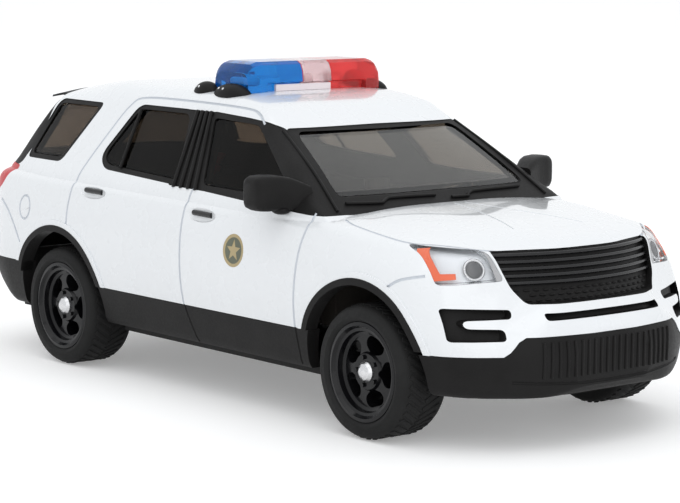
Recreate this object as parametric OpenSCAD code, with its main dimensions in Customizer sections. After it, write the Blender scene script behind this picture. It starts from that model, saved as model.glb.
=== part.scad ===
// Toy police SUV at 1:64: a die-cast body on a moulded base, on two free-rolling axle sets.
// Millimetres. The nose points along +X, the car's left is +Y, and the tyres stand on z = 0.

/* [Overall] */
// Length over the bumpers
length = 74.8; // [73.5:0.1:76.5]
// Width across the flanks
body_w = 31; // [30:0.1:32]
// Height of the roof crown
roof_h = 27.1; // [26.4:0.1:28]
// Height of the belt line under the side windows
belt_h = 18; // [17.6:0.1:18.4]

/* [Wheels] */
// Front axle to the front bumper
front_overhang = 13.85; // [13.3:0.05:14.4]
// Rear axle to the rear bumper
rear_overhang = 16.25; // [15.8:0.05:16.8]
// Tyre outer diameter
tyre_d = 11.3; // [10.8:0.1:11.8]
// Tyre width
tyre_w = 5; // [4.4:0.1:5.2]
// Rim outer diameter, under the tyre
rim_d = 8.3; // [7.8:0.1:8.7]
// Distance between the outer faces of a pair of tyres
tyre_span = 30.9; // [30:0.1:31.4]
// Axle diameter
axle_d = 1.5; // [1.2:0.05:1.8]
// Room round the axle in its bearings, on the radius
axle_room = 0.05; // [0.02:0.01:0.09]

/* [Body casting] */
// Wall of the casting
wall = 1; // [0.8:0.05:1.1]
// Radius of the wheel arch opening in the casting
arch_r = 7.75; // [7.4:0.05:8]
// Breadth of the dark moulding inside each arch
arch_trim = 0.6; // [0.4:0.05:0.8]
// Width of the engraved seams
seam_w = 0.24; // [0.18:0.02:0.4]
// Depth of the engraved seams
seam_depth = 0.22; // [0.14:0.02:0.3]
// Height where the paint ends and the dark sill begins
sill_h = 8.2; // [7.9:0.05:8.6]
// Slack round every inserted piece
slack = 0.06; // [0.03:0.01:0.1]

/* [Grille] */
// Radius of the grille's bow across the car
grille_r = 17; // [15:0.5:20]
// Lean of the grille's face from upright
grille_lean = 22; // [18:1:26]
// Distance between the grille's bars
grille_pitch = 0.66; // [0.6:0.02:0.74]
// Open height between two bars
grille_gap = 0.34; // [0.24:0.02:0.42]

/* [Base] */
// Height of the base's underside
clearance_h = 4.1; // [3.9:0.05:4.3]
// How far the blank panel stands out under the base
panel_t = 0.35; // [0.2:0.05:0.5]
// Height of the base's upper face, where sills and valances stand
deck_h = 4.8; // [4.6:0.05:5]
// Diameter of the posts that hold body and base together
post_d = 3; // [2.4:0.1:3.4]
// Diameter of the rivets through the base
rivet_d = 1.6; // [1.2:0.1:2]

/* [Light bar] */
// Length across the car
bar_len = 15.6; // [14:0.1:17]
// Depth fore and aft
bar_depth = 5.8; // [5:0.1:6.4]
// Height of the lens over its tray
bar_h = 2.35; // [2:0.05:2.6]
// Thickness of the tray
tray_t = 0.3; // [0.25:0.05:0.4]
// Middle of the bar, forward of the car's middle
bar_x = -3.9; // [-5:0.1:-2]
// Length of the clear middle section
bar_mid = 3.4; // [2.4:0.1:4.4]

/* [Mirrors] */
// Height of a mirror housing
mirror_h = 3.2; // [2.8:0.1:3.6]
// Reach of a mirror beyond the flank
mirror_reach = 2; // [1.7:0.1:2.4]

/* [Hidden] */
$fn = 32;
nose_x = length / 2;
tail_x = -length / 2;
front_x = nose_x - front_overhang;
rear_x = tail_x + rear_overhang;
wheelbase = front_x - rear_x;
mid_x = (front_x + rear_x) / 2;
half_w = body_w / 2;
axle_h = tyre_d / 2;
axle_r = axle_d / 2;
bore_r = axle_r + axle_room;
tyre_out = tyre_span / 2;
tyre_mid = tyre_out - tyre_w / 2;
bay_y = tyre_out - tyre_w - 1.6;
opening_r = arch_r - arch_trim;
arch_shift = -0.5;
front_post_x = nose_x - 8.4;
rear_post_x = tail_x + 7.2;
far = 60;

// Places that the body's lines start from: foot and top of the windscreen, pillar between the doors,
// lower edge of the flanks, top of the bumper's face and front edge of the bonnet
cowl_x = front_x - 6.65;
header_x = front_x - 18.45;
pillar_x = mid_x - 3.2;
foot_h = deck_h - 0.4;
bumper_h = sill_h + 3;
brow_h = belt_h - 2;
// Height on the nose, from 0 at the bumper to 1 at the bonnet's edge
function face_h(t) = bumper_h + (brow_h - bumper_h) * t;
// Height on the glasshouse, from 0 at the belt to 1 at the roof's crown
function pane_h(t) = belt_h + (roof_h - belt_h) * t;

// Stations of the lower body from tail to nose. Columns: x, then half-widths at the foot, low flank,
// flank, shoulder and top edge, then heights at the same places, then the height at the middle.
LOWER = [
    [tail_x, half_w - 7, half_w - 5.6, half_w - 6, half_w - 6.6, half_w - 8.6,
        sill_h - 0.2, sill_h + 0.5, sill_h + 1.4, sill_h + 2, sill_h + 2.3, sill_h + 2.4],
    [tail_x + 0.5, half_w - 5, half_w - 3.5, half_w - 4.1, half_w - 4.9, half_w - 7,
        foot_h + 2.9, sill_h + 0.4, face_h(0.06), face_h(0.83), face_h(1.12), face_h(1.2)],
    [tail_x + 1.3, half_w - 3.7, half_w - 2.3, half_w - 2.7, half_w - 3.2, half_w - 5.5,
        foot_h + 2.3, sill_h + 0.6, face_h(0.38), belt_h - 1.5, belt_h - 0.6, belt_h - 0.3],
    [tail_x + 3, half_w - 2.3, half_w - 0.9, half_w - 1.1, half_w - 1.9, half_w - 4,
        foot_h + 1.3, sill_h + 0.8, face_h(0.5), belt_h - 0.5, belt_h + 0.2, belt_h + 0.5],
    [tail_x + 6.4, half_w - 1.5, half_w - 0.3, half_w - 0.3, half_w - 1.1, half_w - 3.5,
        foot_h + 0.1, sill_h + 1.2, face_h(0.58), belt_h - 0.2, belt_h + 0.3, belt_h + 0.5],
    [rear_x, half_w - 1.1, half_w, half_w, half_w - 0.75, half_w - 3.5,
        foot_h, sill_h + 1.4, face_h(0.62), belt_h - 0.3, belt_h + 0.1, belt_h + 0.3],
    [mid_x - 1.2, half_w - 1.1, half_w, half_w - 0.05, half_w - 0.8, half_w - 3.5,
        foot_h, sill_h + 1.4, face_h(0.62), belt_h - 0.5, belt_h - 0.1, belt_h + 0.1],
    [front_x - 6.6, half_w - 1.1, half_w - 0.05, half_w - 0.1, half_w - 1.1, half_w - 3.3,
        foot_h, sill_h + 1.4, face_h(0.62), belt_h - 0.7, belt_h - 0.25, belt_h + 0.25],
    [front_x, half_w - 1.1, half_w, half_w - 0.2, half_w - 1.5, half_w - 3.7,
        foot_h, sill_h + 1.4, face_h(0.62), belt_h - 1.25, belt_h - 0.8, belt_h - 0.1],
    [nose_x - 9, half_w - 1.3, half_w - 0.2, half_w - 0.7, half_w - 2.3, half_w - 4.5,
        foot_h, sill_h + 1.2, face_h(0.54), belt_h - 1.7, belt_h - 1.25, belt_h - 0.55],
    [nose_x - 6, half_w - 2.3, half_w - 1, half_w - 2.1, half_w - 4.7, half_w - 6.9,
        foot_h, sill_h + 1, face_h(0.42), brow_h - 0.1, brow_h + 0.3, brow_h + 0.95],
    [nose_x - 3.9, half_w - 3.7, half_w - 2.5, half_w - 6, half_w - 8.6, half_w - 11,
        foot_h, sill_h + 0.8, face_h(0.27), face_h(0.83), brow_h, brow_h + 0.4],
    [nose_x - 2.9, half_w - 4.9, half_w - 3.7, half_w - 7.9, half_w - 10.1, half_w - 12.1,
        foot_h, sill_h + 0.7, face_h(0.15), face_h(0.63), face_h(0.77), face_h(0.83)],
    [nose_x - 1.9, half_w - 6.2, half_w - 5.3, half_w - 8.8, half_w - 10.7, half_w - 12.5,
        foot_h, sill_h + 0.6, face_h(0.02), face_h(0.31), face_h(0.4), face_h(0.44)],
    [nose_x - 1, half_w - 7.9, half_w - 7.1, half_w - 9.1, half_w - 10.6, half_w - 12.5,
        foot_h + 0.1, sill_h + 0.4, bumper_h - 0.6, bumper_h, bumper_h + 0.3, bumper_h + 0.4],
    [nose_x, half_w - 11.3, half_w - 10.9, half_w - 11.7, half_w - 12.5, half_w - 13.5,
        foot_h + 0.8, sill_h - 0.6, sill_h + 0.6, sill_h + 1.1, sill_h + 1.4, sill_h + 1.5]
];

// Stations of the glasshouse. Columns: x, half-width at the belt, half-width and height of the roof
// edge, height at the middle.
GLASSHOUSE = [
    [tail_x + 3.1, half_w - 3.7, half_w - 4.5, belt_h - 0.4, belt_h + 0.3],
    [tail_x + 4.4, half_w - 2.9, half_w - 3.5, pane_h(0.045), pane_h(0.265)],
    [tail_x + 5.9, half_w - 2.2, half_w - 3.2, pane_h(0.2), pane_h(0.53)],
    [tail_x + 7.4, half_w - 1.7, half_w - 4.1, pane_h(0.505), roof_h - 1.8],
    [tail_x + 8.8, half_w - 1.4, half_w - 5.4, roof_h - 1.9, roof_h - 0.8],
    [tail_x + 12.4, half_w - 1.1, half_w - 5.6, roof_h - 1.4, roof_h - 0.3],
    [rear_x + 3.15, half_w - 1.05, half_w - 5.7, roof_h - 1, roof_h],
    [mid_x - 10.2, half_w - 1, half_w - 5.7, roof_h - 1, roof_h],
    [header_x - 6.1, half_w - 1, half_w - 5.6, roof_h - 1.2, roof_h - 0.35],
    [header_x - 1.6, half_w - 1, half_w - 5.4, roof_h - 1.6, roof_h - 1],
    [header_x + 1.2, half_w - 1, half_w - 4.8, roof_h - 2.7, roof_h - 2.15],
    [cowl_x - 4.9, half_w - 1.05, half_w - 3.1, pane_h(0.35), pane_h(0.395)],
    [cowl_x, half_w - 1.5, half_w - 2, belt_h - 0.1, belt_h + 0.5],
    [cowl_x + 1.5, half_w - 2, half_w - 2.6, belt_h - 1, belt_h - 0.5]
];
// Setback and number of steps of the rounding at each corner of a section
LOWER_SOFT = [[0, 0], [1.2, 1], [3, 2], [2.4, 2], [0.7, 1], [1.2, 1], [4, 1], [0, 0]];
GLASS_SOFT = [[0, 0], [0.4, 1], [1, 1], [1.5, 2], [4, 1], [0, 0]];

// Smooth reading of column k of a station table at x, by cubic steps that never overshoot
function span_at(T, x, i = 0) = i >= len(T) - 2 || x <= T[i + 1][0] ? i : span_at(T, x, i + 1);
function slope(T, k, i) = (T[i + 1][k] - T[i][k]) / (T[i + 1][0] - T[i][0]);
function lean(T, k, i) = i <= 0 ? slope(T, k, 0)
    : i >= len(T) - 1 ? slope(T, k, len(T) - 2)
    : let (a = slope(T, k, i - 1), b = slope(T, k, i)) a * b <= 0 ? 0 : 2 * a * b / (a + b);
function read(T, k, x) = let (
    i = span_at(T, x),
    h = T[i + 1][0] - T[i][0],
    t = (x - T[i][0]) / h
) T[i][k] * (1 + 2 * t) * pow(1 - t, 2) + T[i + 1][k] * t * t * (3 - 2 * t)
    + h * t * (1 - t) * (lean(T, k, i) * (1 - t) - lean(T, k, i + 1) * t);

// Half outline through corner points, each corner rounded by its own setback and steps
function toward(a, b, d) = a + (b - a) * min(d / max(norm(b - a), 0.001), 0.48);
function rounded_corner(a, p, b, d, n) = let (q = toward(p, a, d), r = toward(p, b, d))
    [for (i = [0 : n]) let (t = i / n) pow(1 - t, 2) * q + 2 * t * (1 - t) * p + t * t * r];
function half_outline(c, soft, fine = true) = [
    c[0],
    for (i = [1 : len(c) - 2])
        each rounded_corner(c[i - 1], c[i], c[i + 1], soft[i][0], fine ? soft[i][1] : 1),
    c[len(c) - 1]
];
function ring(h) = concat(h, [for (i = [len(h) - 2 : -1 : 1]) [-h[i][0], h[i][1]]]);
// Corner points of the two forms at x, drawn in by d and let down at the foot by drop
function lower_corners(x, d, drop) = let (y = [for (k = [1 : 5]) max(read(LOWER, k, x) - d, 0.4)],
    z = [for (k = [6 : 11]) read(LOWER, k, x)]) [
    [0, z[0] - drop],
    [y[0], z[0] - drop],
    [y[1], z[1]],
    [y[2], z[2] - d * 0.3],
    [y[3], z[3] - d * 0.8],
    [y[4], z[4] - d],
    [y[4] * 0.5, z[5] - d],
    [0, z[5] - d]
];
function glass_corners(x, d) = let (y = [for (k = [1 : 2]) read(GLASSHOUSE, k, x) - d],
    z = [for (k = [3 : 4]) read(GLASSHOUSE, k, x) - d]) [
    [0, belt_h - 3],
    [y[0] + 0.2, belt_h - 3],
    [y[0], min(belt_h, z[0] - 0.1)],
    [y[1], z[0]],
    [y[1] * 0.5, z[1]],
    [0, z[1]]
];

module loft(xs, rings) {
    n = len(rings[0]);
    m = len(rings);
    points = [for (i = [0 : m - 1]) for (p = rings[i]) [xs[i], p[0], p[1]]];
    sides = [for (i = [0 : m - 2]) for (j = [0 : n - 1]) let (a = i * n + j, b = i * n + (j + 1) % n)
        each [[a, a + n, b], [b, a + n, b + n]]];
    ends = [[for (j = [0 : n - 1]) j], [for (j = [n - 1 : -1 : 0]) (m - 1) * n + j]];
    polyhedron(points, concat(sides, ends), convexity = 8);
}

// Spots along a crease of the bonnet, forward of the front axle and out from the middle
CREASE = [[-5, 0.9], [-1.5, 1.5], [3.2, 3]];
crease_r = 0.36;

// The whole outer form drawn in by d, in coarse or fine steps, with two faint creases on the bonnet
module form(d, fine = true, drop = 0) {
    xl = [for (row = LOWER) row[0]];
    loft([for (x = xl) x * (1 - d / nose_x)],
        [for (x = xl) ring(half_outline(lower_corners(x, d, drop), LOWER_SOFT, fine))]);
    xg = [for (row = GLASSHOUSE) row[0]];
    mid = (xg[0] + xg[len(xg) - 1]) / 2;
    reach = xg[len(xg) - 1] - mid;
    loft([for (x = xg) mid + (x - mid) * (1 - d / reach)],
        [for (x = xg) ring(half_outline(glass_corners(x, d), GLASS_SOFT, fine))]);
    for (s = [-1, 1], i = [0, 1]) hull() for (p = [CREASE[i], CREASE[i + 1]])
        translate([front_x + p[0], s * p[1], read(LOWER, 11, front_x + p[0]) - d - crease_r + 0.06])
            sphere(r = crease_r, $fn = 8);
}

// Skin of the form between two depths
module skin(outer, inner) {
    difference() {
        form(outer);
        form(inner, false, 4);
    }
}

// A flat outline in the side view, pushed through the whole width
module through_sides() {
    rotate([90, 0, 0]) linear_extrude(far, center = true) children();
}

// A flat outline in the front view, pushed from x0 to x1
module along_x(x0, x1) {
    translate([x0, 0, 0]) rotate([90, 0, 90]) linear_extrude(x1 - x0) children();
}

module rounded(points, r, grow = 0) {
    hull() for (p = points) translate(p) circle(r = max(r + grow, 0.02), $fn = 8);
}

module front_glass_outline(grow) {
    rounded([[header_x - 1.3, roof_h - 2.95], [cowl_x - 4.3, belt_h + 1.1], [pillar_x + 1.7, belt_h + 1.3],
        [pillar_x - 0.6, roof_h - 2.7]], 0.3, grow);
}

module rear_glass_outline(grow) {
    rounded([[rear_x + 6.85, roof_h - 2.6], [pillar_x - 4.6, roof_h - 2.6], [pillar_x - 2.5, belt_h + 1.4],
        [rear_x + 5.55, belt_h + 1.9], [rear_x + 4.75, belt_h + 2.6]], 0.3, grow);
}

module quarter_outline(grow) {
    rounded([[tail_x + 9.8, roof_h - 2.8], [rear_x - 0.25, roof_h - 2.8], [rear_x - 2.45, belt_h + 2],
        [tail_x + 8.6, belt_h + 2]], 0.3, grow);
}

module screen_outline(grow) {
    for (s = [-1, 1]) rounded([[0, belt_h + 0.9], [s * (half_w - 4.6), belt_h + 0.7], [s * (half_w - 6), roof_h - 3.4],
        [0, roof_h - 2.8]], 0.4, grow);
}

module back_glass_outline(grow) {
    low = half_w - 4.7;
    high = half_w - 6.7;
    rounded([[-low, belt_h + 2.1], [low, belt_h + 2.1], [high, roof_h - 2.9], [-high, roof_h - 2.9]], 0.5, grow);
}

module window_cutters(grow = 0) {
    through_sides() {
        front_glass_outline(grow);
        rear_glass_outline(grow);
        quarter_outline(grow);
    }
    along_x(header_x - 0.1, front_x + 6.5) screen_outline(grow);
    along_x(-far, tail_x + 9.4) back_glass_outline(grow);
}

// Upper and lower edge of the grille on the nose
grille_top = 0.92;
grille_foot = 0.21;

module grille_outline(grow) {
    rounded([for (s = [-1, 1]) each [[s * (half_w - 6.8), face_h(grille_top)], [s * (half_w - 7.5), face_h(0.5)],
        [s * (half_w - 8.8), face_h(grille_foot)]]], 0.3, grow);
}

module lamp_outline(s, grow) {
    rounded([[s * (half_w - 5.6), face_h(0.98)], [s * (half_w - 6.3), face_h(0.56)], [s * (half_w - 2.3), face_h(0.58)],
        [s * (half_w - 1.9), face_h(1.02)]], 0.3, grow);
}

// A fog lamp pocket with a painted bar that runs in from the inner edge
module fog_outline(s) {
    difference() {
        rounded([[s * (half_w - 6), sill_h + 3], [s * (half_w - 5.6), sill_h + 1.3], [s * (half_w - 1.9), sill_h + 1.2],
            [s * (half_w - 1.4), sill_h + 3.4]], 0.3);
        rounded([[s * (half_w - 7.4), sill_h + 2.4], [s * (half_w - 3), sill_h + 2.4]], 0.42);
    }
}

module slot_outline() {
    rounded([for (s = [-1, 1]) [s * (half_w - 9.1), sill_h + 2.65]], 0.35);
}

module tail_lamp_outline(grow) {
    rounded([[tail_x + 6, belt_h + 0.1], [tail_x + 4, belt_h - 1.7], [tail_x + 1.2, belt_h - 3], [tail_x, belt_h - 2.6],
        [tail_x, belt_h + 0.4]], 0.3, grow);
}

// The dark lower region of the form: high across the middle of the nose, lower at the corners
module valance_zone(grow) {
    brim = [[half_w + 4, 0], [half_w + 4, sill_h - 0.3], [half_w - 6.3, sill_h - 0.2], [half_w - 7.5, sill_h + 1.25]];
    along_x(front_x, far) polygon([for (p = brim) [p[0], p[1] + (p[1] > 0 ? grow : 0)],
        for (i = [len(brim) - 1 : -1 : 0]) [-brim[i][0], brim[i][1] + (brim[i][1] > 0 ? grow : 0)]]);
    translate([-far, -far / 2, 0]) cube([far + rear_x, far, sill_h + 1 + grow]);
    translate([rear_x - 0.1, -far / 2, 0]) cube([wheelbase + 0.2, far, sill_h + grow]);
}

module arches(r) {
    for (x = [rear_x, front_x]) translate([x + arch_shift, 0, axle_h]) rotate([90, 0, 0])
        cylinder(r = r, h = far, center = true, $fn = 40);
}

module seam(points) {
    for (i = [0 : len(points) - 2]) hull()
        for (p = [points[i], points[i + 1]]) translate(p) circle(d = seam_w, $fn = 4);
}

// Seams seen from the side: door edges, pillar flutes and bumper joints
module side_seams() {
    difference() {
        through_sides() {
            seam([[front_x - 8.65, belt_h - 0.3], [front_x - 8.45, belt_h - 3.2], [front_x - 8.85, sill_h + 2.8],
                [front_x - 8.85, 0]]);
            seam([[pillar_x + 0.8, belt_h + 0.5], [pillar_x + 0.4, belt_h - 2], [pillar_x + 0.6, sill_h + 2.5],
                [pillar_x + 0.9, sill_h], [pillar_x + 2, foot_h - 0.4]]);
            seam([[header_x - 1.3, roof_h - 2.1], [header_x - 4.3, roof_h - 1.3], [rear_x + 5.75, roof_h - 1.3],
                [rear_x + 3.95, roof_h - 3.5], [rear_x + 1.75, belt_h + 0.6],
                [rear_x + 1.25, axle_h + arch_r - 0.6]]);
            for (i = [0 : 2])
                seam([[pillar_x - 3.6 + i * 1.05, roof_h - 2.1], [pillar_x - 1.6 + i * 1.3, belt_h + 0.9]]);
            seam([[tail_x + 5.8, belt_h - 3.3], [tail_x + 9.2, sill_h + 3]]);
            seam([[front_x + 2.95, face_h(0.4)], [front_x + 6.35, face_h(0.65)]]);
        }
        form(seam_depth, false);
        translate([-far, 7.5 - half_w, 0]) cube([2 * far, 2 * half_w - 15, far]);
    }
}

// Seams seen from above and behind: the bonnet's shut lines and the tailgate
module bonnet_and_gate_seams() {
    difference() {
        for (s = [-1, 1]) {
            translate([0, 0, belt_h - 4]) linear_extrude(far)
                seam([[cowl_x + 1.6, s * (half_w - 2.8)], [front_x + 0.4, s * (half_w - 2.3)],
                    [front_x + 3.4, s * (half_w - 2.5)]]);
            along_x(-far, tail_x + 7) seam([[s * (half_w - 4), sill_h + 2.6], [s * (half_w - 5), belt_h - 1],
                [s * (half_w - 3.4), belt_h + 2]]);
        }
        form(seam_depth, false);
    }
}

// The fuel door's round seam on the right side
module fuel_seam() {
    difference() {
        translate([tail_x + 9.9, 0, belt_h - 3.4]) rotate([90, 0, 0]) linear_extrude(far) difference() {
            circle(r = 1.05, $fn = 16);
            circle(r = 1.05 - seam_w, $fn = 16);
        }
        form(seam_depth, false);
    }
}

// Door handles cast proud of the flanks
module door_handles() {
    half = 1.7;
    for (s = [-1, 1], p = [[pillar_x + 3.8, belt_h - 1.4], [rear_x + 5.8, belt_h - 0.9]])
        hull() for (e = [-1, 1])
        translate([p[0] + e * half, s * (half_w - 0.75), p[1] + e * 0.06]) sphere(r = 0.34, $fn = 8);
}

// Posts cast under the bonnet and inside the tail, the rear one braced by a rib to the back wall
module body_posts() {
    translate([front_post_x, 0, deck_h]) cylinder(d = post_d, h = belt_h - 1.3 - deck_h, $fn = 20);
    translate([rear_post_x, 0, deck_h]) cylinder(d = post_d, h = belt_h - 1.2 - deck_h, $fn = 20);
    translate([tail_x + wall * 0.7, -0.6, sill_h + 2.8])
        cube([rear_post_x - tail_x, 1.2, belt_h - sill_h - 4.2]);
}

module body_shell() color("white") {
    casting();
    body_posts();
}

module casting() difference() {
    union() {
        form(0);
        door_handles();
    }
    form(wall, false, 4);
    window_cutters();
    valance_zone(slack);
    arches(arch_r);
    along_x(nose_x - 8, far) grille_outline(slack);
    for (s = [-1, 1]) along_x(nose_x - 10.4, far) lamp_outline(s, slack);
    difference() {
        through_sides() tail_lamp_outline(slack);
        translate([-far, 7 - half_w, 0]) cube([far, 2 * half_w - 14, far]);
    }
    difference() {
        along_x(nose_x - 8, far) {
            fog_outline(-1);
            fog_outline(1);
            slot_outline();
        }
        form(0.55, false);
    }
    side_seams();
    bonnet_and_gate_seams();
    fuel_seam();
}

module window_moulding() color("dimgray") difference() {
    union() {
        intersection() {
            form(0.12);
            window_cutters(-slack);
        }
        intersection() {
            form(wall + slack, false);
            translate([-far / 2, -far / 2, belt_h + 0.3]) cube([far, far, far]);
        }
    }
    form(wall + 0.75, false, 4);
}

// The grille's face lies on a drum that leans with the nose; at_drum puts things in the drum's own frame
module at_drum() {
    translate([nose_x - 2.25, 0, face_h(0.58)]) rotate([0, -grille_lean, 0])
        translate([-grille_r, 0, 0]) children();
}

module drum(r, z0, z1) {
    translate([0, 0, z0]) cylinder(r = r, h = z1 - z0, $fn = 96);
}

module grille() color("black") difference() {
    intersection() {
        along_x(nose_x - 8, far) grille_outline(-slack / 2);
        at_drum() difference() {
            drum(grille_r, -6, 6);
            drum(grille_r - 1.3, -7, 7);
        }
    }
    slots = floor((face_h(grille_top) - face_h(grille_foot) - 0.6) / 2 / grille_pitch);
    at_drum() for (i = [-slots : slots]) difference() {
        drum(grille_r + 1, i * grille_pitch - grille_gap / 2, i * grille_pitch + grille_gap / 2);
        drum(grille_r - 0.55, -7, 7);
    }
}

module headlamp(s) difference() {
    intersection() {
        skin(0.05, 1.6);
        along_x(nose_x - 10.3, far) lamp_outline(s, -slack / 2);
    }
    arches(arch_r + slack);
}

module headlamp_left() color("lightgray") headlamp(1);

module headlamp_right() color("lightgray") headlamp(-1);

module tail_lamp(s) intersection() {
    skin(0, 1.4);
    through_sides() tail_lamp_outline(-slack / 2);
    inner = half_w - 6.9;
    translate([-far, s > 0 ? inner : -far - inner, 0]) cube([far, far, far]);
}

module tail_lamp_left() color("red") tail_lamp(1);

module tail_lamp_right() color("red") tail_lamp(-1);

module dark_skin(x0, x1) intersection() {
    skin(0.04, 1.5);
    valance_zone(-slack / 2);
    translate([x0, -far / 2, deck_h]) cube([x1 - x0, far, far]);
}

// Upright ribs stand between shallow grooves
module front_valance() color("black") difference() {
    dark_skin(front_x + 2, far);
    arches(opening_r);
    difference() {
        for (i = [-9 : 9]) translate([nose_x - 4, i * 0.74 - 0.14, foot_h + 1.9])
            cube([far, 0.28, sill_h - foot_h - 1.3]);
        form(groove_depth, false);
    }
}

module rear_valance() color("black") difference() {
    dark_skin(-far, rear_x - 2);
    arches(opening_r);
}

module sill(s) difference() {
    intersection() {
        dark_skin(rear_x + 2, front_x - 2);
        translate([-far, s > 0 ? 5 : -far - 5, 0]) cube([2 * far, far, far]);
    }
    arches(opening_r);
}

module sill_left() color("black") sill(1);

module sill_right() color("black") sill(-1);

module arch_mouldings() color("black") difference() {
    intersection() {
        skin(-0.2, 1.2);
        arches(arch_r - slack / 2);
        translate([-far, -far / 2, sill_h + 1.05]) cube([2 * far, far, arch_r]);
    }
    arches(opening_r);
    translate([-far, 2.9 - half_w, 0]) cube([2 * far, 2 * half_w - 5.8, far]);
}

// Spots of a mirror housing: back from the windscreen's foot, in from the mirror's reach, up from the belt
MIRROR = [for (z = [0.95, mirror_h - 0.8])
    each [[-6, 0.7, z], [-4.3, 0.9, z], [-5.6, mirror_reach + 0.3, z], [-4.1, mirror_reach + 0.3, z]]];
mirror_r = 0.7;

module mirror_blob(p, r) {
    translate([cowl_x + p[0], p[1] - half_w - mirror_reach, belt_h + p[2]]) sphere(r = r, $fn = 10);
}

module mirror_housing() {
    hull() for (p = MIRROR) mirror_blob(p, mirror_r);
    // Sail that carries the housing at the foot of the windscreen pillar
    sail = [[-5, mirror_reach + 0.4, 1], [-3.4, mirror_reach + 1.2, 0.6], [-1.6, mirror_reach + 1.6, 0.3]];
    for (i = [0 : 1]) hull() {
        mirror_blob(sail[i], 0.5);
        mirror_blob(sail[i + 1], 0.45);
    }
    hull() for (z = [1.6, mirror_h - 0.6]) mirror_blob([-5, mirror_reach + 0.5, z], 0.5);
}

module mirror_right() color("black") difference() {
    mirror_housing();
    form(-0.01);
}

module mirror_left() color("black") mirror([0, 1, 0]) mirror_right();

// A dark blade at the back of the roof, over the rear window
module rear_spoiler() color("black") difference() {
    span = half_w - 7.3;
    for (i = [-3 : 2]) hull() for (k = [i, i + 1]) translate([0, k * span / 3, -0.08 * k * k]) {
        translate([tail_x + 8.3, -0.05, roof_h - 1.4]) cube([0.5, 0.1, 0.5]);
        translate([tail_x + 4.5, -0.05, roof_h - 2.2]) cube([0.25, 0.1, 0.3]);
    }
    form(-0.02);
}

// Height of the roof above a point
function roof_at(x, y, h, i = 1) = i >= len(h) - 1 || h[i + 1][0] <= y ? let (a = h[i], b = h[min(i + 1, len(h) - 1)])
    a[1] + (b[1] - a[1]) * (a[0] - y) / max(a[0] - b[0], 0.001) : roof_at(x, y, h, i + 1);
function roof_z(x, y) = roof_at(x, y, half_outline(glass_corners(x, 0), GLASS_SOFT));
tray_z = roof_h - 0.1;
lens_z = tray_z + tray_t;
ledge_h = 0.85;
ledge_in = 0.5;
end_slope = 1.3;

// The tray with an arched foot at each corner and pads in the middle
module light_bar_tray() color("black") difference() {
    union() {
        hull() for (x = [-1, 1], y = [-1, 1])
            translate([bar_x + x * (bar_depth / 2 - 1.2), y * (bar_len / 2 - 0.8), tray_z])
                cylinder(r = 0.8, h = tray_t, $fn = 12);
        for (s = [-1, 1], e = [-1, 1]) hull() {
            translate([bar_x + e * bar_depth * 0.3, s * (bar_len / 2 - 0.5), tray_z - 0.1]) scale([1, 0.5, 1])
                cylinder(r = 1.1, h = tray_t, $fn = 12);
            translate([bar_x + e * bar_depth * 0.45, s * (bar_len / 2 - 0.1),
                roof_z(bar_x, bar_len / 2 + 0.5) - 0.2])
                scale([1, 0.5, 1]) cylinder(r = 1.7, h = 0.3, $fn = 12);
        }
        for (x = [-1, 1], y = [-1, 1])
            translate([bar_x + x * 1.6, y * 3.2, roof_h - 0.6]) cylinder(r = 0.6, h = 0.7, $fn = 12);
    }
    form(-0.01);
}

// Section of the lens fore and aft, with a ledge low on each face and a crowned top
module lens_section() {
    half = bar_depth / 2;
    face = [[half - ledge_in, 0], [half - ledge_in, ledge_h - 0.1], [half, ledge_h], [half - 0.1, bar_h * 0.6],
        [half - 0.9, bar_h - 0.15], [half - 1.8, bar_h]];
    polygon([each face, for (i = [len(face) - 1 : -1 : 0]) [-face[i][0], face[i][1]]]);
}

// The lens from y0 to y1, with the end at y1 sloped and its corners cut when it is an outer one
module lens_part(y0, y1, outer) {
    slope = outer ? end_slope : 0;
    half = bar_depth / 2;
    intersection() {
        translate([bar_x, 0, lens_z]) rotate([90, 0, 0]) linear_extrude(far, center = true) lens_section();
        along_x(bar_x - far / 2, bar_x + far / 2) translate([0, lens_z])
            polygon([[y0, 0], [y1, 0], [y1 - slope * 0.15, bar_h * 0.4], [y1 - slope, bar_h], [y0, bar_h]]);
        translate([bar_x, 0, 0]) linear_extrude(far)
            polygon([[-half, y0], [half, y0], [half, y1 - slope], [half - slope * 0.8, y1],
                [slope * 0.8 - half, y1], [-half, y1 - slope]]);
    }
}

module lens_blue() color("blue") mirror([0, 1, 0]) lens_part(bar_mid / 2, bar_len / 2, true);

module lens_clear() color("lightgray") lens_part(-bar_mid / 2, bar_mid / 2, false);

module lens_red() color("red") lens_part(bar_mid / 2, bar_len / 2, true);

// The base: floor with wheel bays, axle bearings, cabin legs and underbody relief
module bay(x, s) {
    translate([x - arch_r, s > 0 ? bay_y : -far, 0]) cube([2 * arch_r, far - bay_y, far]);
}

module base_outline() {
    half = [[tail_x + 4.9, half_w - 4], [tail_x + 6.4, half_w - 2.4], [front_x + 6, half_w - 2.3], [nose_x - 5, half_w - 4],
        [nose_x - 3, half_w - 6.4], [nose_x - 1.9, half_w - 8.8], [nose_x - 1.2, half_w - 12]];
    polygon(concat(half, [for (i = [len(half) - 1 : -1 : 0]) [half[i][0], -half[i][1]]]));
}

// The base rises at both ends, where the bumpers hide it
end_rise = 0.3;
groove_depth = 0.5;
bearing_y = bay_y - 1.8;
pipe_y = 5.5;

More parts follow.
